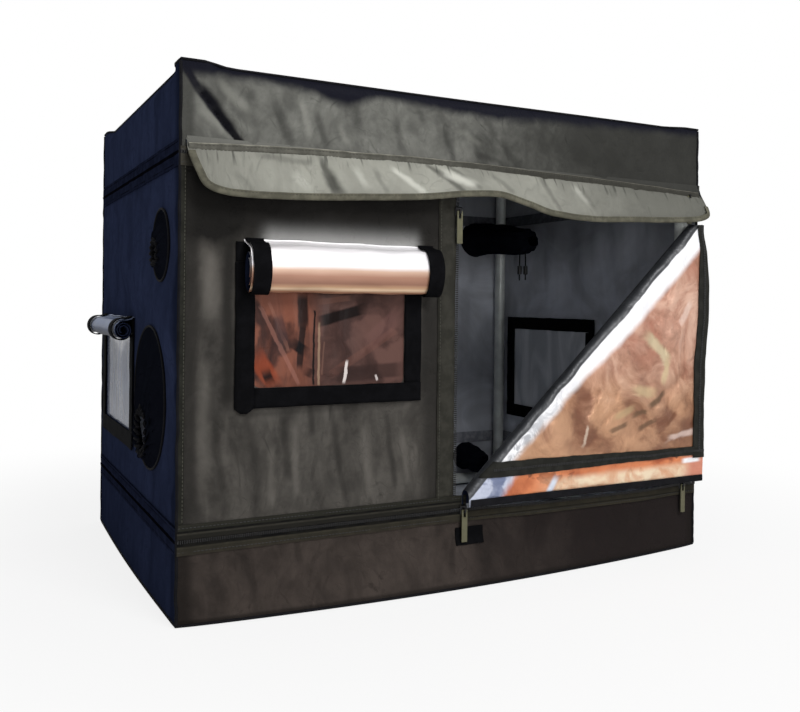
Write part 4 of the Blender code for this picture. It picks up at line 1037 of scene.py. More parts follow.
def warm_film():
    """The front window's film, painted with what reflects in it and shows through it: orange streaks on its
    left, dusky on its right, dim straps behind it, and pale painted highlights.
    """
    finish = Finish("warm_film", Specular_IOR_Level=0.1)
    across, up = finish.spot()
    drift = finish.grain(finish.place("Object"), 28, 4, 0.6, 0.6)
    wave = (drift - 0.5) * 0.014
    half = finish.step(across + wave, -0.232, -0.205)
    streaks = finish.grain(finish.place("Object", (1, 1, 0.3)), 60, 4, 0.65, 0.8)
    patch = finish.facets(finish.place("Object"), 34, 0.03, 0.4)
    lit = finish.step(streaks * 0.5 + patch * 0.5, 0.25, 0.70)
    warm = finish.mix(lit, shade(48, 31, 29), shade(124, 76, 60))
    lit = finish.step(drift * 0.6 + patch * 0.4, 0.30, 0.66)
    dusk = finish.mix(lit, shade(56, 39, 36), shade(94, 68, 62))
    toned = finish.mix(half, warm, dusk)
    # Strokes: pale painted highlights and white painted glints, and dark straps, cords and hooks seen behind
    # the film.
    toned = finish.strokes(toned, across + wave * 0.45, up + wave * 0.35, 0.6, None, (
        (-287, 285, -268, 255, 12, 0.6, 150, 66, 36), (-283, 340, -237, 252, 3, 0.4, 150, 104, 92),
        (-272, 345, -250, 290, 2.2, 0.25, 160, 114, 98), (-262, 330, -255, 300, 7, 0.7, 62, 42, 42),
        (-234, 354, -233, 316, 8, 0.95, 28, 17, 16), (-233, 320, -236, 272, 4.8, 0.9, 20, 13, 14),
        (-243, 298, -230, 290, 7.2, 1, 8, 6, 8), (-226, 267, -221, 264, 6.2, 1, 8, 6, 8),
        (-276, 268, -272, 256, 6.4, 0.95, 10, 8, 8), (-213, 322, -213.5, 250, 1.6, 0.6, 160, 134, 110),
        (-207, 300, -210, 262, 1.2, 0.25, 140, 104, 90), (-219, 336, -219.5, 251, 1.4, 0.95, 8, 7, 8),
        (-213, 346, -176, 350, 4, 0.5, 120, 84, 72), (-212, 323.5, -160, 337.5, 7.8, 1, 20, 11, 10),
        (-199, 262, -116, 313, 6, 0.25, 116, 78, 68), (-150, 300, -112, 330, 12, 0.3, 112, 80, 76),
        (-190, 262, -108, 266, 11, 0.7, 44, 30, 28), (-179, 277, -181.5, 253, 2.4, 1, 206, 196, 192),
        (-142, 260, -139, 254, 1.4, 0.9, 196, 186, 184),
    ))
    finish.set("Base Color", toned)
    finish.set("Roughness", 0.2 + drift * 0.2)
    finish.bump(streaks * 0.6 + drift * 0.8, 0.002, 0.35)
    return finish


def door_foil(colours):
    """The door's foil, outwards from its fold: painted shade round the turn, then a bright painted highlight,
    then warm and crumpled, its warm tones painted reflections with painted highlights and shadows on its
    crumples.
    """
    finish = Finish("door_foil", Specular_IOR_Level=0.5)
    across, up = finish.spot()
    fold, crumple = finish.attribute("fold"), finish.attribute("crumple")
    flat = finish.place("Object", (1, 0.2, 1))
    crush = finish.grain(flat, 15, 5, 0.6, 1.2)
    small = finish.grain(flat, 60, 4, 0.6, 0.6)
    broad, fine = finish.facets(flat, 19, 0.09, 0.5), finish.facets(flat, 48, 0.05, 0.5)
    light = (finish.step(crush, 0.40, 0.64) * 0.45 + broad * 0.32 + fine * 0.14 + crumple * 0.12 - 0.06).held()
    # The warm tones are painted reflections, darker and duller lower down, with painted light and shade on the
    # crumples.
    warm = finish.mix(light, shade(176, 118, 96), shade(232, 196, 174))
    low = finish.step(up + (crush - 0.5) * 0.08, 0.30, 0.20)
    lit = finish.step(broad * 0.4 + crush * 0.6, 0.3, 0.66)
    dull = finish.mix(lit, shade(104, 62, 40), shade(190, 144, 108))
    warm = finish.mix(low * 0.85, warm, dull)
    # Painted shade in small pits of the crumples.
    pit_shade = finish.step(small, 0.58, 0.34) * finish.step(crush, 0.54, 0.38) * 0.4
    warm = finish.mix(pit_shade, warm, shade(120, 84, 62))
    drift = (crush - 0.5) * 0.03
    # Strokes: pale painted highlights and dark painted shadows on the crumples.
    warm = finish.strokes(warm, across + drift, up + drift * 0.6, 0.25, None, (
        (255, 302, 300, 268, 11, 0.8, 214, 200, 164), (300, 270, 292, 240, 8, 0.75, 206, 186, 146),
        (240, 232, 275, 226, 10, 0.7, 200, 178, 138), (205, 196, 235, 205, 7, 0.6, 196, 170, 128),
        (268, 208, 300, 226, 6.2, 0.85, 96, 74, 54), (238, 196, 262, 200, 5, 0.8, 104, 78, 56),
        (198, 176, 228, 187, 5.2, 0.75, 100, 76, 56), (246, 176, 276, 188, 5, 0.8, 98, 72, 52),
        (295, 180, 318, 196, 4.6, 0.7, 110, 66, 42), (320, 320, 345, 352, 7, 0.5, 236, 214, 202),
        (150, 160, 158, 186, 3.6, 0.6, 226, 206, 186), (300, 160, 352, 166, 6, 0.6, 240, 216, 206),
    ))
    # the lap under the zip tape, painted with reflections: blue facets at the left, then orange, then pale,
    # with white painted highlights
    lit = finish.step(broad * 0.5 + crush * 0.5, 0.3, 0.65)
    ember = finish.mix(lit, shade(150, 66, 36), shade(220, 134, 88))
    ember = finish.mix(finish.step(fine, 0.3, 0.15) * 0.6, ember, shade(80, 44, 28))
    lit = finish.step(crush * 0.8 + fine * 0.2, 0.34, 0.62)
    pale = finish.mix(lit, shade(220, 166, 130), shade(244, 224, 194))
    low = finish.step(up + drift * 0.4 - across * 0.01, 0.126, 0.114)
    lap = finish.mix(finish.step(across + drift * 2, 0.060, 0.120) * low, ember, pale)
    lap = finish.mix(finish.step(across + drift, 0.325, 0.350), lap, shade(214, 140, 116))
    lap = finish.strokes(lap, across, up, 0.2, None, ((96, 100, 108, 122, 7, 1, 222, 230, 244),))
    lap = finish.strokes(lap, across, up, 0.3, None, ((332, 127, 362, 128, 5, 1, 250, 250, 252),))
    lit = finish.step(fine * 0.6 + small * 0.4, 0.25, 0.7)
    blue = finish.mix(lit, shade(116, 126, 156), shade(200, 206, 224))
    lap = finish.mix(finish.step(across - up * 0.9 + drift, -0.060, -0.078), lap, blue)
    warm = finish.mix(finish.step(up, 0.136, 0.132), warm, lap)
    # Painted highlight: the bright band beside the fold, greying lower down.
    ragged = fold + (crush - 0.5) * 0.008
    narrow = finish.step(up, 0.20, 0.36) * 0.010
    bright = finish.step(ragged, 0.0020, 0.0040) * finish.step(ragged - narrow, 0.028, 0.016)
    bright = bright * finish.step(up, 0.132, 0.140)
    grey = finish.mix(finish.step(small, 0.4, 0.6), shade(150, 152, 158), colours.band)
    fold_highlight = finish.mix(finish.step(up + drift, 0.265, 0.165) * 0.8, colours.band, grey)
    toned = finish.mix(bright, warm, fold_highlight)
    # Painted shade round the turn of the fold.
    turn = finish.step(fold + (crush - 0.5) * 0.004, 0.0092, 0.0074)
    dark = finish.mix(crush, shade(26, 27, 30), shade(74, 76, 80))
    finish.set("Base Color", finish.mix(turn, toned, dark))
    finish.set("Metallic", 0.4 - bright * 0.35)
    finish.set("Roughness", 0.3 + crush * 0.2)
    finish.bump(crush * 1.3 + small * 0.3 + broad * 0.8, 0.005, 0.7)
    return finish


# Cords and stage
FLOOR_HEIGHT = -0.0015
# Each lamp's place, aim, power and size
LAMPS = (
    ((0.25, -2.2, 1.95), (0, 0, 0.28), 42, 1.0), ((-0.2, -2.4, 0.35), (0.05, 0, 0.3), 11, 0.9),
    ((0.2, 0.6, 2.6), (0, 0, 0.5), 8, 1.8),
)
CAMERA_PLACE = (-0.5897, -1.1668, 0.3467)
# Degrees to the right, up and leaning to the right
CAMERA_YAW, CAMERA_PITCH, CAMERA_ROLL = 27.56, -0.312, 0.659
CAMERA_LENS, CAMERA_SENSOR, CAMERA_SHIFT = 39.15, 36, -0.062


def make_floor():
    """A pale floor that takes the tent's shadow and turns white where the camera sees it bare."""
    deselect()
    bpy.ops.mesh.primitive_plane_add(size=14, location=(0, 0, FLOOR_HEIGHT))
    floor = added("floor")
    finish = Finish("floor_paint", Roughness=0.9, Specular_IOR_Level=0.1)
    finish.set("Base Color", shade(236, 236, 236))
    seen = finish.node("LightPath", out=0)
    bright = finish.node("Emission", sockets={"Color": (1, 1, 1, 1), "Strength": 1.0})
    mixed = finish.tree.nodes.new("ShaderNodeMixShader")
    across, deep, _ = finish.parts(finish.place("Object"))
    away = (across * across + deep * deep).maths("SQRT", across * across + deep * deep)
    plug(finish.tree, mixed.inputs[0], seen * (finish.step(away, 0.45, 1.1) * 0.16 + 0.84))
    finish.tree.links.new(finish.shader.outputs[0], mixed.inputs[1])
    finish.tree.links.new(bright.socket, mixed.inputs[2])
    finish.tree.links.new(mixed.outputs[0], finish.tree.nodes["Material Output"].inputs[0])
    floor.data.materials.append(finish.material)


def make_surroundings():
    """White where the camera sees it, and dimmer as a light."""
    world = bpy.data.worlds.new("studio")
    bpy.context.scene.world = world
    world.use_nodes = True
    tree = world.node_tree
    paths = tree.nodes.new("ShaderNodeLightPath")
    rays = Wire(tree, paths.outputs["Is Camera Ray"])
    glossy = Wire(tree, paths.outputs["Is Glossy Ray"])
    through = Wire(tree, paths.outputs["Is Transmission Ray"])
    seen = rays.maths("MAXIMUM", rays, glossy * 0.6)
    seen = seen.maths("MAXIMUM", seen, through)
    background = tree.nodes["Background"]
    background.inputs["Color"].default_value = (1, 1, 1, 1)
    plug(tree, background.inputs["Strength"], seen * 0.66 + 0.34)


def make_lamps():
    for place, aim, power, size in LAMPS:
        bpy.ops.object.light_add(type="AREA", location=place)
        lamp = bpy.context.object
        lamp.data.energy, lamp.data.size = power, size
        lamp.rotation_euler = (Vector(aim) - Vector(place)).to_track_quat("-Z", "Y").to_euler()


def make_camera():
    yaw, pitch, roll = (math.radians(angle) for angle in (CAMERA_YAW, CAMERA_PITCH, CAMERA_ROLL))
    ahead = Vector((math.sin(yaw) * math.cos(pitch), math.cos(yaw) * math.cos(pitch), math.sin(pitch)))
    level = Vector((math.cos(yaw), -math.sin(yaw), 0))
    upright = level.cross(ahead)
    right = level * math.cos(roll) + upright * math.sin(roll)
    up = upright * math.cos(roll) - level * math.sin(roll)
    turn = Matrix((right, up, -ahead)).transposed()
    bpy.ops.object.camera_add()
    camera = bpy.context.object
    camera.matrix_world = Matrix.Translation(CAMERA_PLACE) @ turn.to_4x4()
    camera.data.lens, camera.data.sensor_width = CAMERA_LENS, CAMERA_SENSOR
    camera.data.shift_y = CAMERA_SHIFT
    camera.data.clip_start = 0.01
    bpy.context.scene.camera = camera


class MakeStage(Maker):
    """Makes the floor, the lamps, the surroundings and the camera"""

    bl_idname = "tent.make_stage"
    bl_label = "Stage"

    def make(self, sizes, colours):
        make_floor()
        make_surroundings()
        make_lamps()
        make_camera()
        bpy.context.scene.view_settings.view_transform = "Standard"


class MakeCords(Maker):
    """Makes the two drawcords of the rear duct sleeve"""

    bl_idname = "tent.make_cords"
    bl_label = "Drawcords"

    def make(self, sizes, colours):
        for name, points, lock in (
            ("drawcord_left", CORD_LEFT, "cord_lock_left"),
            ("drawcord_right", CORD_RIGHT, "cord_lock_right"),
        ):
            cord = tube(f"{name}_braid", points, CORD_DIAMETER / 2)
            fit(cord, "cord_braid", "cord", node=name)
            length = sum((Vector(b) - Vector(a)).length for a, b in zip(points, points[1:]))
            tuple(points[0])


# Cover
# Left edge, lower edge, width and height of the tray's hook-and-loop patch
PATCH_LEFT, PATCH_FOOT, PATCH_WIDE, PATCH_TALL = -0.030, 0.0465, 0.040, 0.0215


def foot_bulge(across):
    """How far the foot of the front swells forward, from the left corner to the right one."""
    return bpy.context.scene.tent_sizes.foot_bulge * math.sin(math.pi * across) ** 0.8


def base_place(side):
    lay, half = SIDES[side], HALF[side]

    def place(across, up):
        a = -half + 2 * half * across
        z = BASE_LINE * up
        if side == "front":
            out = foot_bulge(across) * max(1 - z / 0.060, 0.0) ** 1.5
            free = ease(a, 0.0, 0.1) * (1 - ease(a, 0.27, 0.345))
            out += 0.0026 * free * up
            z -= 0.0022 * free * up
        else:
            out = 0.004 * math.sin(math.pi * across) * (1 - up)
        swell = dome(across, up) * (1 - ease(z, 0.038, 0.060))
        out += swell * (0.0012 + 0.0022 * ripple((a, z * 0.6, len(side)), 14))
        return lay(a, z, out)

    return place


class MakeBase(Maker):
    """Makes the tray: its floor, the low band round it, its seams and the hook-and-loop patch"""

    bl_idname = "tent.make_base"
    bl_label = "Base tray"

    def make(self, sizes, colours):
        for side in SIDES:
            wide = 2 * HALF[side]
            columns = round(wide / sizes.cell)
            piece = sheet(f"base_{side}", columns, 13, base_place(side))
            if side == "back":
                cut_round(piece, side, REAR_VENT[1], REAR_VENT[2])
            thicken(piece, levels=1)
            fit(piece, "base_cloth", "base" if side == "front" else "side", "lining")

        def floor_place(across, up):
            a, b = LEFT + (RIGHT - LEFT) * across, BACK + (FRONT - BACK) * up
            b -= foot_bulge(across) * ease(up, 0.6, 1.0)
            a += 0.004 * math.sin(math.pi * up) * (2 * across - 1)
            return Vector((a, b, 0.0002 + 0.0008 * abs(ripple((a, b, 0), 9)) * math.sin(math.pi * up)))

        ground = sheet("base_floor", 72, 48, floor_place)
        thicken(ground)
        fit(ground, "base_cloth", "base", "lining", node="base_tray")

        rim = []
        for side in ("front", "right", "back", "left"):
            lay = base_place(side)
            rim += [lay(i / 40, 0.0) + Vector((0, 0, 0.0012)) for i in range(40)]
        welt = to_mesh(tube("base_seam", rim, 0.0016, cyclic=True))
        fit(welt, "base_cloth", "dark_binding")

        lay = base_place("front")

        def patch_place(across, up):
            a, z = PATCH_LEFT + PATCH_WIDE * across, PATCH_FOOT + PATCH_TALL * up
            return lay((a - LEFT) / (RIGHT - LEFT), z / BASE_LINE) + Vector((0, -0.0006, 0))

        patch = sheet("base_hook_patch", 14, 10, patch_place)
        apply(patch, "SOLIDIFY", thickness=0.0012, offset=1.0)
        apply(patch, "BEVEL", width=0.0004, segments=2, limit_method="ANGLE")
        fit(patch, "hook_tape", "hook")


def clear_of(side, a, z):
    """1 on plain cloth, down to 0 beside a window or a port, where the cloth lies flat under its trim."""
    clear = ease(min(z - BASE_LINE, ROOF_LINE - z), 0.016, 0.036)
    if side == "front":
        clear *= ease(min(PANEL_RIGHT - a, a - PANEL_LEFT), 0.025, 0.045)
    if side in WINDOWS:
        a0, a1, z0, z1 = WINDOWS[side]
        clear *= ease(max(a0 - a, a - a1, z0 - z, z - z1), 0.026, 0.042)
    for wall, centre, radius in (*PORTS.values(), REAR_PORT):
        if wall == side:
            clear *= ease(math.hypot(a - centre[0], z - centre[1]) - radius, 0.012, 0.030)
    return clear


def wall_place(side, left, right, low, high):
    lay, half = SIDES[side], HALF[side]

    def place(across, up):
        a = left + (right - left) * across
        z = low + (high - low) * up
        out = 0.003 * dome(across, up) * (0.4 + ripple((a, z * 0.4, half), 7))
        edge = min(1, 14 * across * (1 - across)) * ease(min(up, 1 - up), 0, 0.08)
        out += 0.0016 * ripple((a * 1.8, z * 0.35, half), 24) * edge
        return lay(a, z, out * clear_of(side, a, z))

    return place


def cut_window(piece, side, box):
    """Cuts a rectangle out of a wall, its points first moved onto the rectangle's edge."""
    a_low, a_high, z_low, z_high = box
    cell = bpy.context.scene.tent_sizes.cell * 0.62
    for point in piece.data.vertices:
        a, z = own_axes(side, point.co)
        if a_low - cell < a < a_high + cell and z_low - cell < z < z_high + cell:
            for edge in (a_low, a_high):
                if abs(a - edge) < cell:
                    a = edge
            for edge in (z_low, z_high):
                if abs(z - edge) < cell:
                    z = edge
            out = outward(side, point.co)
            point.co = SIDES[side](a, z, out * 0.3)

    def inside(middle):
        a, z = own_axes(side, middle)
        return a_low < a < a_high and z_low < z < z_high

    remove_faces(piece, inside)


def cut_round(piece, side, centre, radius):
    """Cuts a round hole, its points first moved onto the circle."""
    cell = bpy.context.scene.tent_sizes.cell * 0.6
    for point in piece.data.vertices:
        a, z = own_axes(side, point.co)
        away = math.hypot(a - centre[0], z - centre[1])
        if away < radius + 0.03:
            if abs(away - radius) < cell and away > 0:
                a = centre[0] + (a - centre[0]) * radius / away
                z = centre[1] + (z - centre[1]) * radius / away
            keep = ease(away, radius + 0.008, radius + 0.03)
            point.co = SIDES[side](a, z, outward(side, point.co) * keep)
    remove_faces(piece, lambda middle: math.dist(own_axes(side, middle), centre) < radius * 0.97)


def own_axes(side, place):
    """A place's distance along a side, as that side measures it, and its height."""
    return {"front": place.x, "left": -place.y, "right": place.y, "back": -place.x}[side], place.z


def outward(side, place):
    """How far a place stands out from a side."""
    ways = {
        "front": FRONT - place.y, "left": LEFT - place.x, "right": place.x - RIGHT, "back": place.y - BACK
    }
    return ways[side]


WINDOWS = {
    "front": (-0.290, -0.104, 0.250, 0.388),
    "left": (-0.203, -0.012, 0.172, 0.300),
    "right": (-0.010, 0.197, 0.155, 0.298),
}
PORTS = {"small": ("left", (0.163, 0.408), 0.031), "large": ("left", (0.107, 0.229), 0.075)}
REAR_PORT = ("back", (-0.310, 0.4665), 0.033)
REAR_VENT = ("back", (-0.292, 0.054), 0.026)


class MakeWalls(Maker):
    """Makes the front panel and the left, right and back walls"""

    bl_idname = "tent.make_walls"
    bl_label = "Walls"

    def make(self, sizes, colours):
        sides = (
            ("front", "front_panel", PANEL_LEFT - 0.0012, PANEL_RIGHT, "front_cloth", "front"),
            ("left", "left_wall", -BACK, BACK, "side_cloth", "side"),
            ("right", "right_wall", -BACK, BACK, "side_cloth", "side"),
            ("back", "back_wall", LEFT + 0.0012, RIGHT - 0.0012, "side_cloth", "side"),
        )
        for number, (side, node, left, right, slot, finish) in enumerate(sides):
            columns, rows = round((right - left) / sizes.cell), round((ROOF_LINE - BASE_LINE) / sizes.cell)
            piece = sheet(f"{node}_cloth", columns, rows, wall_place(side, left, right, BASE_LINE, ROOF_LINE))
            edge = sizes.cell * 0.6

            def pinned(place, side=side, left=left, right=right, edge=edge):
                a, z = own_axes(side, place)
                if min(a - left, right - a) < (0.028 if side == "front" else edge):
                    return True
                if min(z - BASE_LINE, ROOF_LINE - z) < 0.019:
                    return True
                if side in WINDOWS:
                    a0, a1, z0, z1 = WINDOWS[side]
                    if a0 - 0.025 < a < a1 + 0.025 and z0 - 0.025 < z < z1 + 0.025:
                        return True
                return side == "left" and any(
                    math.hypot(a - c[0], z - c[1]) < r + 0.012 for _, c, r in PORTS.values()
                )

            settle(piece, pinned, 0.012, seed=number + 3, limit=0.008)
            area = (right - left) * (ROOF_LINE - BASE_LINE)
            if side in WINDOWS:
                cut_window(piece, side, WINDOWS[side])
                a0, a1, z0, z1 = WINDOWS[side]
                area -= (a1 - a0) * (z1 - z0)
            if side == "left":
                for _, centre, radius in PORTS.values():
                    cut_round(piece, side, centre, radius)
                    area -= math.pi * radius**2
            if side == "back":
                cut_round(piece, side, REAR_PORT[1], REAR_PORT[2])
                area -= math.pi * REAR_PORT[2] ** 2
            thicken(piece, levels=1)
            fit(piece, slot, finish, "lining", node=node)


# Roof
# Height of the roof's cloth away from its edges
ROOF_REST = 0.5972
BAND_FOLDS = (
    (-371, 597, -352, 570, 6, -1.1, 1.2), (-352, 570, -305, 513, 5.6, -8, 1.3),
    (-345, 576, -292, 518, 8, 3, 1.6), (-276, 580, -258, 518, 9, -3.2, 1.6),
    (-222, 562, -208, 516, 7, -2.4, 1.6), (-240, 560, -232, 520, 8, 1.6, 1.6),
    (-50, 562, -38, 515, 8, -2.2, 1.6), (30, 552, 62, 516, 9, -2.4, 1.6),
    (190, 575, 215, 520, 12, -2.2, 1.6),
)


def band_place(side):
    lay, half = SIDES[side], HALF[side]

    def place(across, up):
        a = -half + 2 * half * across
        near = min(across, 1 - across) * 2 * half
        top = TOP - 0.0030 * ease(near, 0.027, 0.060)
        if side == "front":
            top += 0.0018 * ease(a, -0.1, 0.30) * ease(near, 0.027, 0.052)
        z = ROOF_LINE + (top - ROOF_LINE) * up
        out = 0.0022 * dome(across, up)
        wave = 0.0030 * ripple((a * 0.9, z * 0.5, half), 13) * math.sin(math.pi * min(up * 1.1, 1))
        out += wave * ease(near, 0.01, 0.05)
        out += 0.0012 * ripple((a, z, half + 2), 38) * math.sin(math.pi * up) * ease(near, 0.01, 0.04)
        # the cloth turns back over the pole, but not over the corner pieces
        out -= 0.0065 * ease(up, 0.82, 1.0) ** 1.6 * ease(near, 0.026, 0.045)
        if side == "front":
            out += folded((a, z), BAND_FOLDS)
        return lay(a, z, out)

    return place


class MakeRoof(Maker):
    """Makes the roof, the band round it and its corner seams"""

    bl_idname = "tent.make_roof"
    bl_label = "Roof"

    def make(self, sizes, colours):
        for side in SIDES:
            wide = 2 * HALF[side]
            columns, rows = (300, 44) if side == "front" else (round(wide / sizes.cell), 18)
            piece = sheet(f"roof_band_{side}", columns, rows, band_place(side))
            if side == "front":
                rim = piece.data.attributes.new("rim", "FLOAT", "POINT")
                for index, point in enumerate(piece.data.vertices):
                    rim.data[index].value = point.co.z - on_line(BAND_EDGE, point.co.x)
            thicken(piece, levels=0)
            fit(piece, "roof_cloth", "roof" if side == "front" else "side", "lining")
            if side == "front":
                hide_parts("roof_cap")

        edges = {side: band_place(side) for side in SIDES}

        def roof_place(across, up):
            front, back = edges["front"](across, 1), edges["back"](1 - across, 1)
            left, right = edges["left"](1 - up, 1), edges["right"](up, 1)
            a = left.x + (right.x - left.x) * across
            b = front.y + (back.y - front.y) * up
            toward_end = ease(min(across, 1 - across), 0.036, 0.07)
            toward_back = ease(min(up, 1 - up), 0.054, 0.11)
            rim = (front.z * (1 - up) + back.z * up) * (1 - toward_back) + ROOF_REST * toward_back
            ends = (left.z * (1 - across) + right.z * across) * (1 - toward_end) + ROOF_REST * toward_end
            sag = dome(across, up)
            z = min(rim + ends - ROOF_REST, TOP) - 0.0035 * sag + 0.0010 * sag * ripple((a, b, 3), 8)
            return Vector((a, b, z))

        roof = sheet("roof_top", 88, 58, roof_place)
        settle(roof, lambda p: abs(p.x) > RIGHT - 0.032 or abs(p.y) > BACK - 0.032, 0.006, seed=9, limit=0.0035)
        thicken(roof, levels=1)
        fit(roof, "roof_cloth", "side", "lining")

        rim = []
        for side in ("front", "right", "back", "left"):
            rim += [edges[side](i / 60, 1.0) for i in range(60)]
        welt = to_mesh(tube("roof_seam", rim, 0.0015, cyclic=True))
        fit(welt, "roof_cloth", "dark_binding")

        make_corner_seams()
        bound = strip_up("corner_binding", LEFT, LEFT + 0.0064, BASE_LINE + 0.016, ROOF_LINE - 0.015)
        fit(bound, "front_cloth", "corner_binding")
        points = [(LEFT + 0.0052, FRONT - 0.0016, BASE_LINE + 0.02 + i * 0.38 / 40) for i in range(41)]
        block = (sizes.stitch * 0.66, 0.0009, 0.0007)
        runs("corner_stitches", points, sizes.stitch, block, "stitch", "front_cloth")


def make_corner_seams():
    """The piped seams up the four corners. The door turns round the front right one, so that seam stops below
    the door and starts again above it."""
    foot, head = 0.0024, 0.5976
    corners = []
    for name, x, y in (("a", LEFT, FRONT), ("b", RIGHT, FRONT), ("c", LEFT, BACK), ("d", RIGHT, BACK)):
        for low, high in ((foot, 0.0925), (0.4560, head)) if name == "b" else ((foot, head),):
            line = []
            for i in range(71):
                z = low + (high - low) * i / 70
                line.append((x + 0.0007 * ripple((x, y, z), 40), y + 0.0007 * ripple((y, x, z), 40), z))
            corners.append(to_mesh(tube(f"corner_{name}", line, 0.0017)))
    fit(join(corners, "corner_seams"), "side_cloth", "dark_binding")


def strip_up(name, left, right, low, high):
    """A flat tape on the front of the tent, taller than wide."""

    def place(across, up):
        a, z = left + (right - left) * across, low + (high - low) * up
        out = 0.0003 + TAPE_WAVE * (1 + ripple((z, left, 2), 30)) * 0.4
        return SIDES["front"](a + TAPE_WAVE * ripple((z, left, 1), 25), z, out)

    piece = sheet(name, 4, 60, place)
    return apply(piece, "SOLIDIFY", thickness=TAPE, offset=1.0)


# Light flap
FLAP_FOLDS = (
    (-216, 500, -197, 462, 7.5, -6.5, 1.8), (-78, 510, -36, 478, 4.5, -2.8, 1.8),
    (-46, 510, -12, 484, 4, -2, 1.8), (-135, 510, -128, 475, 10, 2.2, 1.8),
    (95, 512, 120, 462, 6, -2.6, 1.8), (250, 512, 262, 470, 6, -2.2, 1.8),
)


def flap_place(across, down):
    """A place on the light flap: across from 0 to 1 and down from its seam, 0, to its edge, 1."""
    across -= 0.75 * math.sin(2 * math.pi * across) / (2 * math.pi)
    a = FLAP_EDGE[0][0] + (FLAP_EDGE[-1][0] - FLAP_EDGE[0][0]) * across
    foot, seam = on_line(FLAP_EDGE, a), on_line(FLAP_SEAM, a) - 0.005
    z = FLAP_TOP + (foot - FLAP_TOP) * down
    reach = max(seam - z, 0.0) / max(seam - foot, 0.030)
    out = 0.0014 + 0.0016 * (1 - ease(z, seam, seam + 0.007)) + 0.0215 * reach**0.65
    out += 0.0035 * ripple((a, 0.4 * z, 5), 9) * reach + 0.0014 * ripple((a, z, 6), 30) * min(reach * 2, 1)
    return Vector((a, FRONT - out - folded((a, z), FLAP_FOLDS), z))


def hem(name, edge, inward, width, out=0.0010, back=0.0024):
    """A tape folded over the edge of a sheet. inward(i) is the way from the edge into the sheet."""
    count = len(edge) - 1
    profile = (
        (width, out * 0.7), (width * 0.8, out), (width * 0.3, out * 1.1), (0.0, out), (-0.0009, -0.0002),
        (-0.0009, -back * 0.5), (0.0, -back), (width * 0.5, -back * 1.05), (width, -back),
    )

    def place(across, up):
        i = round(across * count)
        step = round(up * (len(profile) - 1))
        deep, high = profile[step]
        way = inward(i)
        ahead = (edge[min(i + 1, count)] - edge[max(i - 1, 0)]).normalized()
        facing = way.cross(ahead).normalized()
        if facing.y > 0:
            facing = -facing
        return edge[i] + way * deep + facing * high

    piece = sheet(name, count, len(profile) - 1, place)
    apply(piece, "SOLIDIFY", thickness=0.0004, offset=0.0)
    return outwards(smooth(piece, 50))


def outwards(piece, gap=0.00002):
    """Merges points nearer than a gap, which closes a tube's seam, and turns every face outwards."""
    activate(piece)
    bpy.ops.object.mode_set(mode="EDIT")
    bpy.ops.mesh.select_all(action="SELECT")
    bpy.ops.mesh.remove_doubles(threshold=gap)
    bpy.ops.mesh.normals_make_consistent(inside=False)
    bpy.ops.object.mode_set(mode="OBJECT")
    return piece


class MakeFlap(Maker):
    """Makes the light flap with its bound edge and its sewn top"""

    bl_idname = "tent.make_flap"
    bl_label = "Light flap"

    def make(self, sizes, colours):
        flap = sheet("light_flap", 260, 14, lambda across, up: flap_place(across, 1 - up))
        above = flap.data.attributes.new("above", "FLOAT", "POINT")
        for index, point in enumerate(flap.data.vertices):
            above.data[index].value = point.co.z - on_line(FLAP_SEAM, point.co.x)
        facing(flap, (0, -1, 0))
        thicken(flap, thickness=0.0011, levels=1)
        fit(flap, "roof_cloth", "flap", "side", body="flap", node="roof_flap")

        edge = [flap_place(i / 300, 1.0) for i in range(301)]
        edge = [place for place in edge if place.z < on_line(FLAP_SEAM, place.x) - 0.002]
        count = len(edge) - 1

        def inward(i):
            ahead = (edge[min(i + 1, count)] - edge[max(i - 1, 0)]).normalized()
            return Vector((-ahead.z, 0, ahead.x)).normalized()

        bound = hem("flap_binding", edge, inward, sizes.binding)
        fit(bound, "roof_cloth", "flap_binding", body="flap")
        line = [edge[i] + inward(i) * 0.0048 + Vector((0, -0.0014, 0)) for i in range(8, count - 24)]
        stitches("flap_stitches", line, "roof_cloth", body="flap")

        def seam_place(across, up):
            a = FLAP_EDGE[0][0] + 0.0015 + (FLAP_EDGE[-1][0] - 0.006 - FLAP_EDGE[0][0]) * across
            z = on_line(FLAP_SEAM, a) - 0.0086 * (1 - up) + 0.0005 * ripple((a, 0, 7), 16)
            round_it = math.sin(math.pi * up) ** 0.5
            pucker = 0.0009 * ripple((a, z * 0.2, 9), 95) * round_it
            return Vector((a, FRONT - 0.0032 - 0.0018 * round_it - pucker, z))

        seam = sheet("flap_seam", 420, 7, seam_place)
        facing(seam, (0, -1, 0))
        apply(seam, "SOLIDIFY", thickness=0.0008, offset=1.0)
        smooth(seam, 50)
        fit(seam, "roof_cloth", "roof_binding", body="flap")
        ridge = to_mesh(tube("flap_piping", [seam_place(i / 240, 1.0) for i in range(241)], 0.0010))
        fit(ridge, "roof_cloth", "flap_piping", body="flap")
        for name, rise in (("upper", 0.78), ("lower", 0.22)):
            line = [seam_place(i / 300, rise) + Vector((0, -0.0011, 0)) for i in range(3, 286)]
            stitches(f"flap_seam_stitches_{name}", line, "roof_cloth", body="flap")


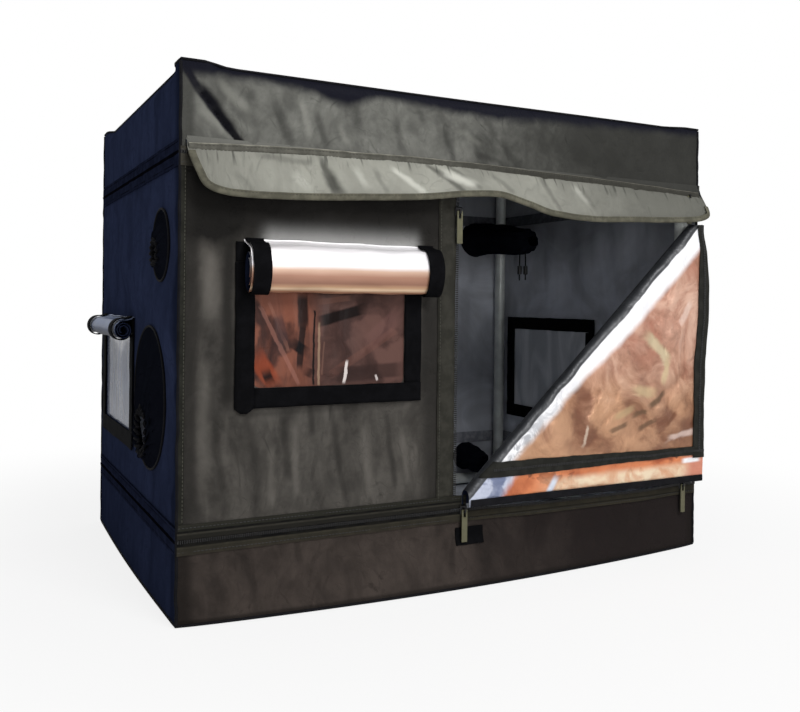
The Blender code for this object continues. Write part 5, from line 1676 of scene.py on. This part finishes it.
# Door
FOLD_WAY = Vector((DOOR_HIGH.x - DOOR_LOW.x - FOLD_RADIUS, DOOR_HIGH.z - DOOR_LOW.z)).normalized()
FOLD_IN = Vector((FOLD_WAY.y, -FOLD_WAY.x))
FOLD_START = Vector((DOOR_LOW.x, DOOR_LOW.z + FOLD_RISE - FOLD_RADIUS * FOLD_WAY.y / FOLD_WAY.x))
DOOR_REACH = DOOR_HIGH.z + 0.0085
LAP_CORNER = Vector((DOOR_HIGH.x - 0.0015, DOOR_LOW.z))
FOLD_LENGTH = (DOOR_REACH - FOLD_START.y) / FOLD_WAY.y
FOLD_CORNER = (LAP_CORNER - FOLD_START).dot(FOLD_WAY) / FOLD_LENGTH
FOLD_MIDDLE = FRONT + 0.0008 - FOLD_RADIUS
DOOR_FOLDS = (
    (262, 268, 300, 180, 15, 4, 1.5), (285, 215, 330, 245, 10, -5, 1.5), (300, 300, 345, 330, 12, 4, 1.5),
)


def from_fold(a, z):
    """How far a place lies from the door's fold."""
    return (Vector((a, z)) - FOLD_START).dot(FOLD_IN)


def door_wave(a, z):
    """How far the door's folded-out foil stands in front of its plain place."""
    inside = ease(DOOR_HIGH.x - a, 0.0, 0.06) * ease(z - DOOR_LOW.z, 0.0, 0.05)
    wave = 0.0035 * ripple((a, z, 11), 10) + 0.0022 * ripple((a * 1.2, z, 12), 26)
    ridged = 1 - 2 * abs(ripple((a * 1.3 + z * 0.4, z, 13), 12, octaves=2))
    wave += 0.0030 * ridged * ease(z, 0.15, 0.2)
    wave += folded((a, z), DOOR_FOLDS)
    return wave * (0.25 + 0.75 * inside)


def door_layer(a, z):
    """The folded-out layer's front face, away from the fold."""
    return DOOR_TAPE_LOW.y + 0.0012 - door_wave(a, z) + 0.003 * ease(z, 0.42, 0.45)


def turned(s, radius):
    """Distance from the fold and depth, at a length s round its turn, counted from the back layer."""
    arc = math.pi * radius
    if s < 0:
        return radius - s, FOLD_MIDDLE + radius
    if s > arc:
        return radius + s - arc, FOLD_MIDDLE - radius
    return radius - radius * math.sin(s / radius), FOLD_MIDDLE + radius * math.cos(s / radius)


def door_depth(a, z, s, radius, y):
    arc = math.pi * radius
    blend = ease(s / max(arc, 1e-6), 0.35, 1.3)
    y = y * (1 - blend) + min(door_layer(a, z), y + 0.004) * blend
    if s < arc * 0.3:
        y += 0.0012 * ripple((a, z, 2), 14) * ease(-s, -arc * 0.3, 0.03)
    return y


def door_front(a, z):
    """The depth of the folded-out layer where it is seen from the front, its turn included."""
    away = max(from_fold(a, z), 0.0)
    if away < FOLD_RADIUS:
        s = FOLD_RADIUS * (math.pi - math.asin((FOLD_RADIUS - away) / FOLD_RADIUS))
    else:
        s = math.pi * FOLD_RADIUS + away - FOLD_RADIUS
    return door_depth(a, z, s, FOLD_RADIUS, turned(s, FOLD_RADIUS)[1])


DOOR_COLUMNS, DOOR_ROWS = 96, 112
CORNER_COLUMN = round(DOOR_COLUMNS * FOLD_CORNER)


def door_spot(across, up):
    """A point of the folded cloth: its place on the front, its depth, how far round the fold it lies, the
    fold's radius there and how far the point lies from the fold."""
    i = across * DOOR_COLUMNS
    if i <= CORNER_COLUMN:
        t = FOLD_CORNER * i / CORNER_COLUMN
        edge = Vector((DOOR_LOW.x, DOOR_LOW.z)).lerp(LAP_CORNER, t / FOLD_CORNER)
    else:
        share = (i - CORNER_COLUMN) / (DOOR_COLUMNS - CORNER_COLUMN)
        t = FOLD_CORNER + (1 - FOLD_CORNER) * share
        edge = LAP_CORNER.lerp(Vector((LAP_CORNER.x, DOOR_REACH)), share)
    start = FOLD_START + FOLD_WAY * (FOLD_LENGTH * t)
    reach = (edge - start).dot(FOLD_IN)
    slant = (edge - start).dot(FOLD_WAY) / reach
    radius = min(FOLD_RADIUS, reach * 0.5)
    flat = reach - radius
    s = (flat * 2 + math.pi * radius) * up - flat
    d, y = turned(s, radius)
    return start + FOLD_IN * d + FOLD_WAY * (d * slant), y, s, radius, d


def door_place(across, up):
    spot, y, s, radius, _ = door_spot(across, up)
    return Vector((spot.x, door_depth(spot.x, spot.y, s, radius, y), spot.y))


def make_door_cloth():
    door = sheet("door_cloth", DOOR_COLUMNS, DOOR_ROWS, door_place, size=(FOLD_LENGTH, 0.5))
    fold = door.data.attributes.new("fold", "FLOAT", "POINT")
    crumple = door.data.attributes.new("crumple", "FLOAT", "POINT")
    count = DOOR_COLUMNS + 1
    for index in range(len(door.data.vertices)):
        spot, _, s, radius, d = door_spot((index % count) / DOOR_COLUMNS, (index // count) / DOOR_ROWS)
        fold.data[index].value = d if s > math.pi * radius / 2 else -d
        crumple.data[index].value = door_wave(spot.x, spot.y) / 0.006
    facing(door, (0, -1, 0), lambda face: face.center.y < FOLD_MIDDLE - 0.004)
    thicken(door, thickness=0.0009, levels=1)
    fit(door, "foil_lining", "door_foil", "side", body="door", node="door_panel")


# The door's zip tape: its foot's lower and upper edges, and its side's left and right ones
TAPE_FOOT, TAPE_HEAD = DOOR_TAPE_LOW.z, DOOR_TAPE_LOW.z + 0.0190
TAPE_LEFT, TAPE_RIGHT = DOOR_TAPE_HIGH.x - 0.0200, DOOR_TAPE_HIGH.x


def tape_along_foot(across, up):
    rise = TAPE_FOOT + (TAPE_HEAD - TAPE_FOOT) * up - FOLD_START.y
    start = FOLD_START.x + rise * FOLD_WAY.x / FOLD_WAY.y + 0.0012
    a = start + (TAPE_RIGHT - start) * across**1.35
    slim = 1 - 0.38 * ease(a, 0.04, 0.34)
    z = TAPE_FOOT + (TAPE_HEAD - TAPE_FOOT) * (0.5 + (up - 0.5) * slim)
    z += 0.0022 * ripple((a, 0, 21), 5) + 0.0012 * ripple((a, 0, 22), 18)
    return Vector((a, door_front(a, z) - 0.0009, z))


def tape_up_side(across, up):
    z = TAPE_FOOT + (DOOR_REACH - TAPE_FOOT) * up
    bulge = 0.0075 * math.exp(-(((z - 0.350) / 0.065) ** 2)) + 0.0015 * ripple((z, 0, 23), 9)
    narrow = 1 - 0.5 * ease(z, 0.36, 0.45)
    a = TAPE_RIGHT + bulge - 0.003 * ease(z, 0.38, 0.45) - (TAPE_RIGHT - TAPE_LEFT) * (1 - across) * narrow
    return Vector((a, door_front(min(a, TAPE_RIGHT), z) - 0.0009 - 0.0006 * math.sin(math.pi * across), z))


def make_door_tape(tooth):
    for name, columns, rows, lay in (
        ("door_tape_foot", 110, 6, tape_along_foot), ("door_tape_side", 6, 100, tape_up_side)
    ):
        tape = sheet(name, columns, rows, lay)
        facing(tape, (0, -1, 0))
        apply(tape, "SOLIDIFY", thickness=0.0011, offset=1.0)
        smooth(tape, 50)
        fit(tape, "zip_tape", "door_zip_tape", body="door", node="door_edge_tape")
    before = Vector((0, -0.0016, 0))
    for name, line in (
        ("door_teeth_foot", [tape_along_foot(i / 110, 0.5) + before for i in range(6, 111)]),
        ("door_teeth_side", [tape_up_side(0.5, i / 100) + before for i in range(3, 101)]),
    ):
        runs(name, line, tooth, (tooth * 0.6, 0.0034, 0.0010), "teeth", "zip_tape", body="door")


def make_lap_binding():
    z = DOOR_LOW.z + 0.0008
    edge = []
    for i in range(161):
        a = DOOR_LOW.x + 0.001 + (DOOR_HIGH.x - 0.0035 - DOOR_LOW.x - 0.001) * i / 160
        edge.append(Vector((a, door_front(a, z) - 0.0004, z)))
    bound = hem("lap_binding", edge, lambda i: Vector((0, 0, 1)), 0.0085, out=0.0020, back=0.0030)
    fit(bound, "zip_tape", "dark_binding", body="door")


class MakeDoor(Maker):
    """Makes the folded door, the zip tape along its free edges and the binding of its lap"""

    bl_idname = "tent.make_door"
    bl_label = "Door"

    def make(self, sizes, colours):
        make_door_cloth()
        make_door_tape(sizes.tooth)
        make_lap_binding()


# Windows and their rolled covers
FRAME_WIDTH = 0.022
ROLL_TURNS = 2.4
# Points of a roll's section from its seam down to the roll, and round the roll
ROLL_DROP, ROLL_STEPS = 12, 120
# Lower and upper edge of the right window's cover
COVER_FOOT, COVER_HEAD = 0.133, 0.320


def ring_of_tape(name, side, thickness, out, node=None, tail=0.0):
    """A flat frame of tape round a window, its left band's foot running on by tail with a rounded end."""
    a0, a1, z0, z1 = WINDOWS[side]
    lay, width = SIDES[side], FRAME_WIDTH
    pieces = []
    for part, (left, right, low, high) in enumerate((
        (a0 - width, a1 + width, z1, z1 + width),
        (a0 - (0 if tail else width), a1 + width, z0 - width, z0),
        (a0 - width, a0, z0 - ((width + tail) if tail else 0), z1),
        (a1, a1 + width, z0, z1),
    )):
        tall = high - low > right - left

        def place(across, up, left=left, right=right, low=low, high=high, part=part):
            a, z = left + (right - left) * across, low + (high - low) * up
            if tail and part == 2:
                round_it = math.sqrt(max(1 - max(1 - (z - low) / 0.007, 0) ** 2, 0.0))
                a = (left + right) / 2 + (a - (left + right) / 2) * (0.35 + 0.65 * round_it)
            wave = 0.0007 * ripple((a, z, part), 18)
            return lay(a + wave, z + wave, out + 0.0005 * (1 + ripple((a, z, 8), 22)))

        count = max(4, round(max(high - low, right - left) / 0.005))
        piece = sheet(f"{name}_{part}", 6 if tall else count, count if tall else 6, place)
        apply(piece, "SOLIDIFY", thickness=thickness, offset=1.0)
        pieces.append(piece)
    fit(join(pieces, name), "hook_tape", "hook", node=node)


def film(name, node, side, finish, out, lap=0.008):
    """Clear film sewn behind a window's opening."""
    a0, a1, z0, z1 = WINDOWS[side]
    lay = SIDES[side]

    def place(across, up):
        a, z = a0 - lap + (a1 - a0 + 2 * lap) * across, z0 - lap + (z1 - z0 + 2 * lap) * up
        return lay(a, z, out + dome(across, up) * (0.0012 + 0.0030 * ripple((a, z * 0.3, len(name)), 18)))

    piece = sheet(name, 40, 32, place)
    thicken(piece, thickness=0.0006, inside=False)
    fit(piece, "window_film", finish, node=node)
    a1 - a0 + 2 * lap
    z1 - z0 + 2 * lap


def roll_section(centre, half_out, half_up, top):
    """The section of a rolled cover, as distances out from the wall and heights: down from its seam, then
    round and in."""
    points = []
    for i in range(ROLL_DROP):
        share = i / ROLL_DROP
        out = 0.0012 + (centre[0] - 0.0012) * share**2 * 0.8
        points.append((out, top - (top - centre[1] - half_up) * share))
    for i in range(ROLL_STEPS + 1):
        share = i / ROLL_STEPS
        angle = math.pi / 2 - 2 * math.pi * ROLL_TURNS * share
        shrink = 1 - 0.62 * share
        out = centre[0] + half_out * shrink * math.cos(angle)
        points.append((out, centre[1] + half_up * shrink * math.sin(angle)))
    return points


def roll_middle(section):
    """The middle of a roll's section, out from the wall and up."""
    coil = section[ROLL_DROP:]
    return [sum(values) / len(coil) for values in zip(*coil)]


def roll(name, node, side, left, right, section, finish, strap_spots):
    """A window's cover rolled up, drawn in under its straps."""
    lay = SIDES[side]
    count = len(section) - 1
    middle_out, middle_z = roll_middle(section)

    def place(across, up):
        a = left + (right - left) * across
        out, z = section[count - round(up * count)]
        tight = sum(math.exp(-(((a - spot) / 0.014) ** 2)) for spot in strap_spots)
        squeeze = 1 - 0.07 * tight + 0.045 * ripple((a, up * 2.5, len(name)), 14)
        if round(up * count) > count - ROLL_DROP:
            squeeze = 1.0
        end = ease(min(a - left, right - a), 0, 0.02)
        sway = 0.0012 * ripple((a, 0, 31), 10) * end
        out = max(middle_out + (out - middle_out) * squeeze, 0.0008)
        return lay(a, middle_z + (z - middle_z) * squeeze + sway, out)

    piece = sheet(name, 110, count, place)
    out = lay(0, 0, 1) - lay(0, 0, 0)
    facing(piece, out, lambda face: outward(side, face.center) > 1.2 * section[30][0])
    for _ in range(2):
        piece.data.materials.append(None)
    apply(piece, "SOLIDIFY", thickness=0.0008, offset=-1.0, material_offset=1, material_offset_rim=1)
    smooth(piece, 60)
    fit(piece, "foil_lining", finish, "side", node=node)
    length = sum(math.dist(p, q) for p, q in zip(section, section[1:]))
    right - left


def strap(name, node, side, middle, width, section, standoff=0.0016):
    """A strap round a roll's front, sewn to the wall above it."""
    lay = SIDES[side]
    middle_out, middle_z = roll_middle(section)
    line = []
    for out, z in section[:ROLL_DROP + 46]:
        away = math.hypot(out - middle_out, z - middle_z)
        push = standoff / max(away, 1e-6)
        line.append((max(out + (out - middle_out) * push, 0.0022), z + (z - middle_z) * push))
    count = len(line) - 1

    def place(across, up):
        a = middle - width / 2 + width * across
        out, z = line[count - round(up * count)]
        return lay(a + 0.0010 * ripple((z, middle, 3), 22), z, out + 0.0003 * math.sin(math.pi * across))

    piece = sheet(name, 6, count, place)
    apply(piece, "SOLIDIFY", thickness=0.0012, offset=1.0)
    smooth(piece, 50)
    fit(piece, "hook_tape", "hook", node=node)


class MakeWindows(Maker):
    """Makes the films, the hook frames, the rolled covers with their straps and the right window's cover"""

    bl_idname = "tent.make_windows"
    bl_label = "Windows"

    def make(self, sizes, colours):
        for word, side, finish, out in (
            ("front", "front", "warm_film", -0.0006), ("side", "left", "film", -0.0006),
            ("right", "right", "inner_film", -0.0022),
        ):
            film(f"{word}_film", f"{word}_window_film", side, finish, out)
        ring_of_tape("front_frame", "front", 0.0011, 0.0012, "front_window_hook_frame", tail=0.005)
        ring_of_tape("side_frame", "left", 0.0011, 0.0012, "side_window_hook_frame")
        ring_of_tape("right_inner_binding", "right", -0.0012, -0.0044)

        front_section = roll_section((0.0180, 0.3790), 0.0145, 0.0275, 0.4130)
        side_section = roll_section((0.0145, 0.3060), 0.0118, 0.0125, 0.3228)
        front_straps = {"left": -0.2915, "right": -0.078}
        side_straps = {"front": -0.012, "back": -0.203}
        for word, side, left, right, section, finish, width, straps in (
            ("front", "front", -0.303, -0.067, front_section, "front_roll", 0.020, front_straps),
            ("side", "left", -0.225, 0.010, side_section, "silver", 0.022, side_straps),
        ):
            roll(f"{word}_roll", f"{word}_window_roll", side, left, right, section, finish, straps.values())
            for end, spot in straps.items():
                strap(f"{word}_strap_{end}", f"{word}_roll_strap_{end}", side, spot, width, section)

        cover_low, cover_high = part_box("right_window_cover")
        a0, a1, z0, z1 = cover_low.y, cover_high.y, COVER_FOOT, COVER_HEAD
        lay = SIDES["right"]

        def cover_place(across, up):
            a, z = a0 + (a1 - a0) * across, z0 + (z1 - z0) * up
            return lay(a, z, 0.0016 + dome(across, up) * (0.002 + 0.003 * ripple((a, z * 0.5, 4), 12)))

        cover = sheet("right_cover", 34, 26, cover_place)
        thicken(cover, levels=1)
        fit(cover, "side_cloth", "side", "lining", node="right_window_cover")
        for k, inset in enumerate((0.004, 0.019)):
            corners = [
                (a0 + inset, z0 + inset), (a1 - inset, z0 + inset), (a1 - inset, z1 - inset),
                (a0 + inset, z1 - inset), (a0 + inset, z0 + inset),
            ]
            line = []
            for (p, q), (r, s) in zip(corners, corners[1:]):
                for i in range(30):
                    a, z = p + (r - p) * i / 30, q + (s - q) * i / 30
                    spot = cover_place((a - a0) / (a1 - a0), (z - z0) / (z1 - z0))
                    line.append(spot + Vector((0.0006, 0, 0)))
            stitches(f"right_cover_stitches_{k}", line, "side_cloth", out=(1, 0, 0))


# Ports and sleeves
def sock(name, port, reach, mouth, drop, pleats):
    """A short cloth sleeve round a port: a flange on the wall, then a tube gathered to a small, low mouth."""
    side, spot, radius = PORTS[port]
    centre, way, up = SIDES[side](*spot), Vector((-1, 0, 0)), Vector((0, 0, 1))
    across_way = up.cross(way)

    def place(across, along_it):
        angle = 2 * math.pi * across
        if along_it < 0.12:
            spread = radius + 0.010 * (1 - along_it / 0.12)
            return centre + (across_way * math.cos(angle) + up * math.sin(angle)) * spread + way * 0.0012
        share = (along_it - 0.12) / 0.88
        narrow = 1 + (mouth - 1) * share**0.85
        wave = 1 + 0.10 * share * math.sin(pleats * angle + 2 * ripple((across * 3, 0, 4), 1))
        wave += 0.16 * share * ripple((math.cos(angle), math.sin(angle), share * 2), 1.8)
        out = 0.0014 + reach * math.sin(share * math.pi * 0.62) ** 0.8
        out += 0.25 * reach * share * math.sin(pleats * angle)
        out += 0.30 * reach * math.sin(math.pi * share) * ripple((math.cos(angle), math.sin(angle), 7), 2.2)
        side, rise = math.cos(angle) * radius * narrow * wave, math.sin(angle) * radius * narrow * wave
        return centre + across_way * side + up * (rise - drop * share) + way * max(out, 0.0012)

    piece = sheet(name, 120, 30, place)
    outwards(piece, 0.00003)
    thicken(piece, thickness=0.0010, inside=False)
    fit(piece, "sleeve_cloth", "sleeve", node=f"{name}_sleeve")
    rim = [place(i / 90, 1.0) for i in range(90)]
    mouth_ring = to_mesh(tube(f"{name}_hem", rim, 0.0020, cyclic=True))
    flange = [place(i / 90, 0.0) for i in range(90)]
    flange_ring = to_mesh(tube(f"{name}_flange", flange, 0.0014, cyclic=True))
    for ring in (mouth_ring, flange_ring):
        fit(ring, "sleeve_cloth", "dark_binding")


def long_sleeve(name, node, points, radii, pleats):
    """A long sleeve that lies along points, gathered shut at its far end."""
    points = [Vector(p) for p in points]
    count = len(points) - 1

    def place(across, along_it):
        angle = 2 * math.pi * across
        at = along_it * count
        i = min(int(at), count - 1)
        share = at - i
        spot = points[i].lerp(points[i + 1], share)
        ahead = (points[min(i + 2, count)] - points[max(i - 1, 0)]).normalized()
        level = ahead.cross(Vector((0, 0, 1))).normalized()
        rise = level.cross(ahead)
        spread = radii[i] + (radii[i + 1] - radii[i]) * share
        wave = 1 + 0.07 * ease(along_it, 0.5, 1.0) * math.sin(pleats * angle + 2 * along_it)
        crush = ripple((math.cos(angle) * 0.7, math.sin(angle) * 0.7, along_it * 1.5), 1.2)
        wave += 0.14 * crush * ease(along_it, 0.08, 0.3)
        spread *= wave
        return spot + level * (spread * math.cos(angle)) + rise * (spread * 0.92 * math.sin(angle))

    piece = sheet(name, 80, 64, place)
    outwards(piece, 0.00003)
    thicken(piece, thickness=0.0010, inside=False)
    fit(piece, "sleeve_cloth", "sleeve", node=node)


class MakePorts(Maker):
    """Makes the two ports of the left wall and the two sleeves of the back wall"""

    bl_idname = "tent.make_ports"
    bl_label = "Ports and sleeves"

    def make(self, sizes, colours):
        sock("cable_port", "small", 0.007, 0.45, 0.008, 12)
        sock("duct_port", "large", 0.009, 0.36, 0.040, 18)
        _, (a, z), radius = REAR_PORT
        narrow = [0.38 * (i / 12) ** 1.5 for i in range(13)]
        points = [(-a, BACK + 0.0016, z)]
        for i in range(13):
            low = 0.026 * narrow[i] + 0.002 * math.sin(math.pi * i / 24)
            points.append((-a, BACK - 0.185 * i / 12, z - low))
        radii = [0.0415, 0.0335] + [0.0325 * (1 - narrow[i]) for i in range(1, 12)] + [0.010]
        long_sleeve("rear_sleeve", "rear_duct_sleeve", points, radii, 11)
        _, (a, z), radius = REAR_VENT
        points = [(-a, BACK + 0.0016, z)] + [(-a, BACK - 0.062 * i / 6, z - 0.002 * i / 6) for i in range(7)]
        radii = [0.0340, 0.0262] + [0.0255 * (1 - 0.25 * (i / 6)) for i in range(1, 6)] + [0.012]
        long_sleeve("vent_sleeve", "rear_vent_sleeve", points, radii, 9)
        for name, (_, centre, radius) in (("rear", REAR_PORT), ("vent", REAR_VENT)):
            ring, reach = [], radius + 0.004
            for i in range(60):
                turn = 2 * math.pi * i / 60
                a, rise = centre[0] + reach * math.cos(turn), centre[1] + reach * math.sin(turn)
                ring.append(SIDES["back"](a, rise, 0.0012))
            piece = to_mesh(tube(f"{name}_flange", ring, 0.0034, cyclic=True))
            for point in piece.data.vertices:
                point.co.y = BACK + (point.co.y - BACK) * 0.45
            fit(piece, "sleeve_cloth", "sleeve")


# Zips
TOOTH_BLOCK = (0.0015, 0.0042, 0.0016)
# From the middle of a zip to a tape's outer edge, and to its inner one beside the teeth
ZIP_HALF, ZIP_GAP = 0.0145, 0.0016


def on_tray(a, z, out=0.0):
    """A place on the front of the tray, whose cloth bows out where the door is open."""
    spot = base_place("front")((a - LEFT) / (RIGHT - LEFT), min(z / BASE_LINE, 1.0))
    return spot - Vector((0, 0.0008 + out, 0))


def zip_run(name, node, sides, z, finish, reach):
    """A zip round the front and sides: two tapes, the teeth between them and their rows of stitches.

    On the front its upper tape reaches higher, or less high, by reach. Where a side has no upper tape, the
    lower one follows the tray."""
    sizes = bpy.context.scene.tent_sizes
    made = []
    for side, left, right, upper in sides:
        front, wide = side == "front", right - left
        tall = ZIP_HALF + (reach if front else 0.0)
        lay = SIDES[side] if upper else on_tray
        bands = {"low": (z - ZIP_HALF, z - ZIP_GAP), "high": (z + ZIP_GAP, z + tall)}
        for word in bands if upper else ("low",):
            columns = max(8, round(wide / 0.008))
            band = strip(f"{name}_{side}_{word}", side, *bands[word], left, right, 0.0004, columns, lay)
            band.data.materials.append(FINISHES[finish if front else "side_tape"].material)
            made.append(band)
        facing = lay(0, 0, 1) - lay(0, 0, 0)
        fine = "teeth" if front else "side_teeth"
        line = [lay(left + wide * i / 200, z, 0.0018) for i in range(201)]
        runs(f"{name}_teeth_{side}", line, sizes.tooth, TOOTH_BLOCK, fine, "zip_tape", facing)
        for k, rise in enumerate((-ZIP_HALF + 0.0035, tall - 0.0035)):
            if rise < 0 or upper:
                line = [lay(left + wide * i / 100, z + rise, 0.0019) for i in range(101)]
                block = (0.0028, 0.0008, 0.0005)
                runs(f"{name}_stitches_{side}_{k}", line, sizes.stitch, block, fine, "zip_tape", facing)
    tape = join(made, name)
    smooth(tape, 40)
    fit(tape, "zip_tape", node=node)


class MakeZips(Maker):
    """Makes the base zip, the roof zip and the tent's half of the door zip"""

    bl_idname = "tent.make_zips"
    bl_label = "Zips"

    def make(self, sizes, colours):
        round_tent = (
            ("front", LEFT, DOOR_LOW.x + 0.007, True), ("left", -BACK + 0.002, BACK, True),
            ("right", -BACK, BACK - 0.002, True),
        )
        sides = (*round_tent, ("front", DOOR_LOW.x + 0.007, RIGHT, False))
        middle = (BASE_ZIP_LOW.z + BASE_ZIP_HIGH.z) / 2
        zip_run("base_zip_tape", "base_zip", sides, middle, "base_tape", 0.0035)
        sides = (("front", LEFT, RIGHT, True), *round_tent[1:])
        middle = (ROOF_ZIP_LOW.z + ROOF_ZIP_HIGH.z) / 2
        zip_run("roof_zip_tape", "roof_zip", sides, middle, "tape", -0.0085)

        # Painted shadow: a near-black strip behind the tray's top edge, seen where the tray bows out below the
        # open door.
        gap_shadow = strip("tray_backing", "front", 0.060, BASE_LINE, 0.0, RIGHT - 0.006, -0.0030, lay=on_tray)
        fit(gap_shadow, "zip_tape", "side_teeth")

        for word, low, high in (("roof", 0.492, 0.511), ("base", 0.080, 0.100)):
            inner = []
            for side in ("left", "right", "back"):
                half = HALF[side] - 0.004
                inner.append(strip(f"inner_{word}_{side}", side, low, high, -half, half, -0.0046))
            inner = join(inner, f"inner_{word}_tape")
            smooth(inner, 40)
            fit(inner, "zip_tape", f"inner_{word}_tape")

        left, right = DOOR_ZIP_LOW.x, DOOR_ZIP_HIGH.x - 0.0045
        tape = strip_up("door_zip_tape", left, right, DOOR_ZIP_LOW.z, DOOR_ZIP_HIGH.z)
        fit(tape, "zip_tape", "binding", node="door_zip")
        tall = DOOR_ZIP_HIGH.z - DOOR_ZIP_LOW.z
        x = DOOR_ZIP_HIGH.x - 0.0022
        line = [Vector((x, FRONT - 0.0010, DOOR_ZIP_LOW.z + tall * i / 200)) for i in range(201)]
        runs("door_zip_teeth", line, sizes.tooth, TOOTH_BLOCK, "teeth", "zip_tape")
        x = DOOR_ZIP_LOW.x + 0.003
        line = [Vector((x, FRONT - 0.0018, DOOR_ZIP_LOW.z + tall * i / 100)) for i in range(101)]
        runs("door_zip_stitches", line, sizes.stitch, (0.0028, 0.0008, 0.0006), "stitch", "zip_tape")


class FinishHardware(Maker):
    """Gives the frame's own poles, corners, sliders, pull tabs and cord locks their finishes"""

    bl_idname = "tent.finish_hardware"
    bl_label = "Poles and fittings"

    def make(self, sizes, colours):
        for name, node in frame["nodes"].items():
            for words, finish in (
                ("rail_", "pole"), ("upright_", "pole"), ("corner_", "plastic"), ("cord_lock", "lock"),
                ("_zip_slider", "metal"), ("_zip_puller", "puller"),
            ):
                if name.startswith(words) or name.endswith(words):
                    node.material_slots[0].material = FINISHES[finish].material


class TentPanel(bpy.types.Panel):
    """Lists the tent's sizes, colours and operators"""

    bl_idname = "VIEW3D_PT_grow_tent"
    bl_label = "Grow tent"
    bl_space_type = "VIEW_3D"
    bl_region_type = "UI"
    bl_category = "Grow tent"

    def draw(self, context):
        for group in (context.scene.tent_sizes, context.scene.tent_colours):
            box = self.layout.box()
            for name in group.bl_rna.properties.keys():
                if name not in ("rna_type", "name"):
                    box.prop(group, name)
        for maker in MAKERS:
            self.layout.operator(maker.bl_idname)


MAKERS = (
    MakeFinishes, MakeStage, MakeCords, MakeBase, MakeWalls, MakeRoof, MakeFlap, MakeDoor, MakeWindows,
    MakePorts, MakeZips, FinishHardware,
)
CLASSES = (TentSizes, TentColours, *MAKERS, TentPanel)


def register():
    for kind in CLASSES:
        bpy.utils.register_class(kind)
    bpy.types.Scene.tent_sizes = PointerProperty(type=TentSizes)
    bpy.types.Scene.tent_colours = PointerProperty(type=TentColours)


def unregister():
    del bpy.types.Scene.tent_sizes, bpy.types.Scene.tent_colours
    for kind in reversed(CLASSES):
        bpy.utils.unregister_class(kind)


def main():
    register()
    for maker in MAKERS:
        group, name = maker.bl_idname.split(".")
        getattr(getattr(bpy.ops, group), name)()
    deselect()


if __name__ == "__main__":
    main()
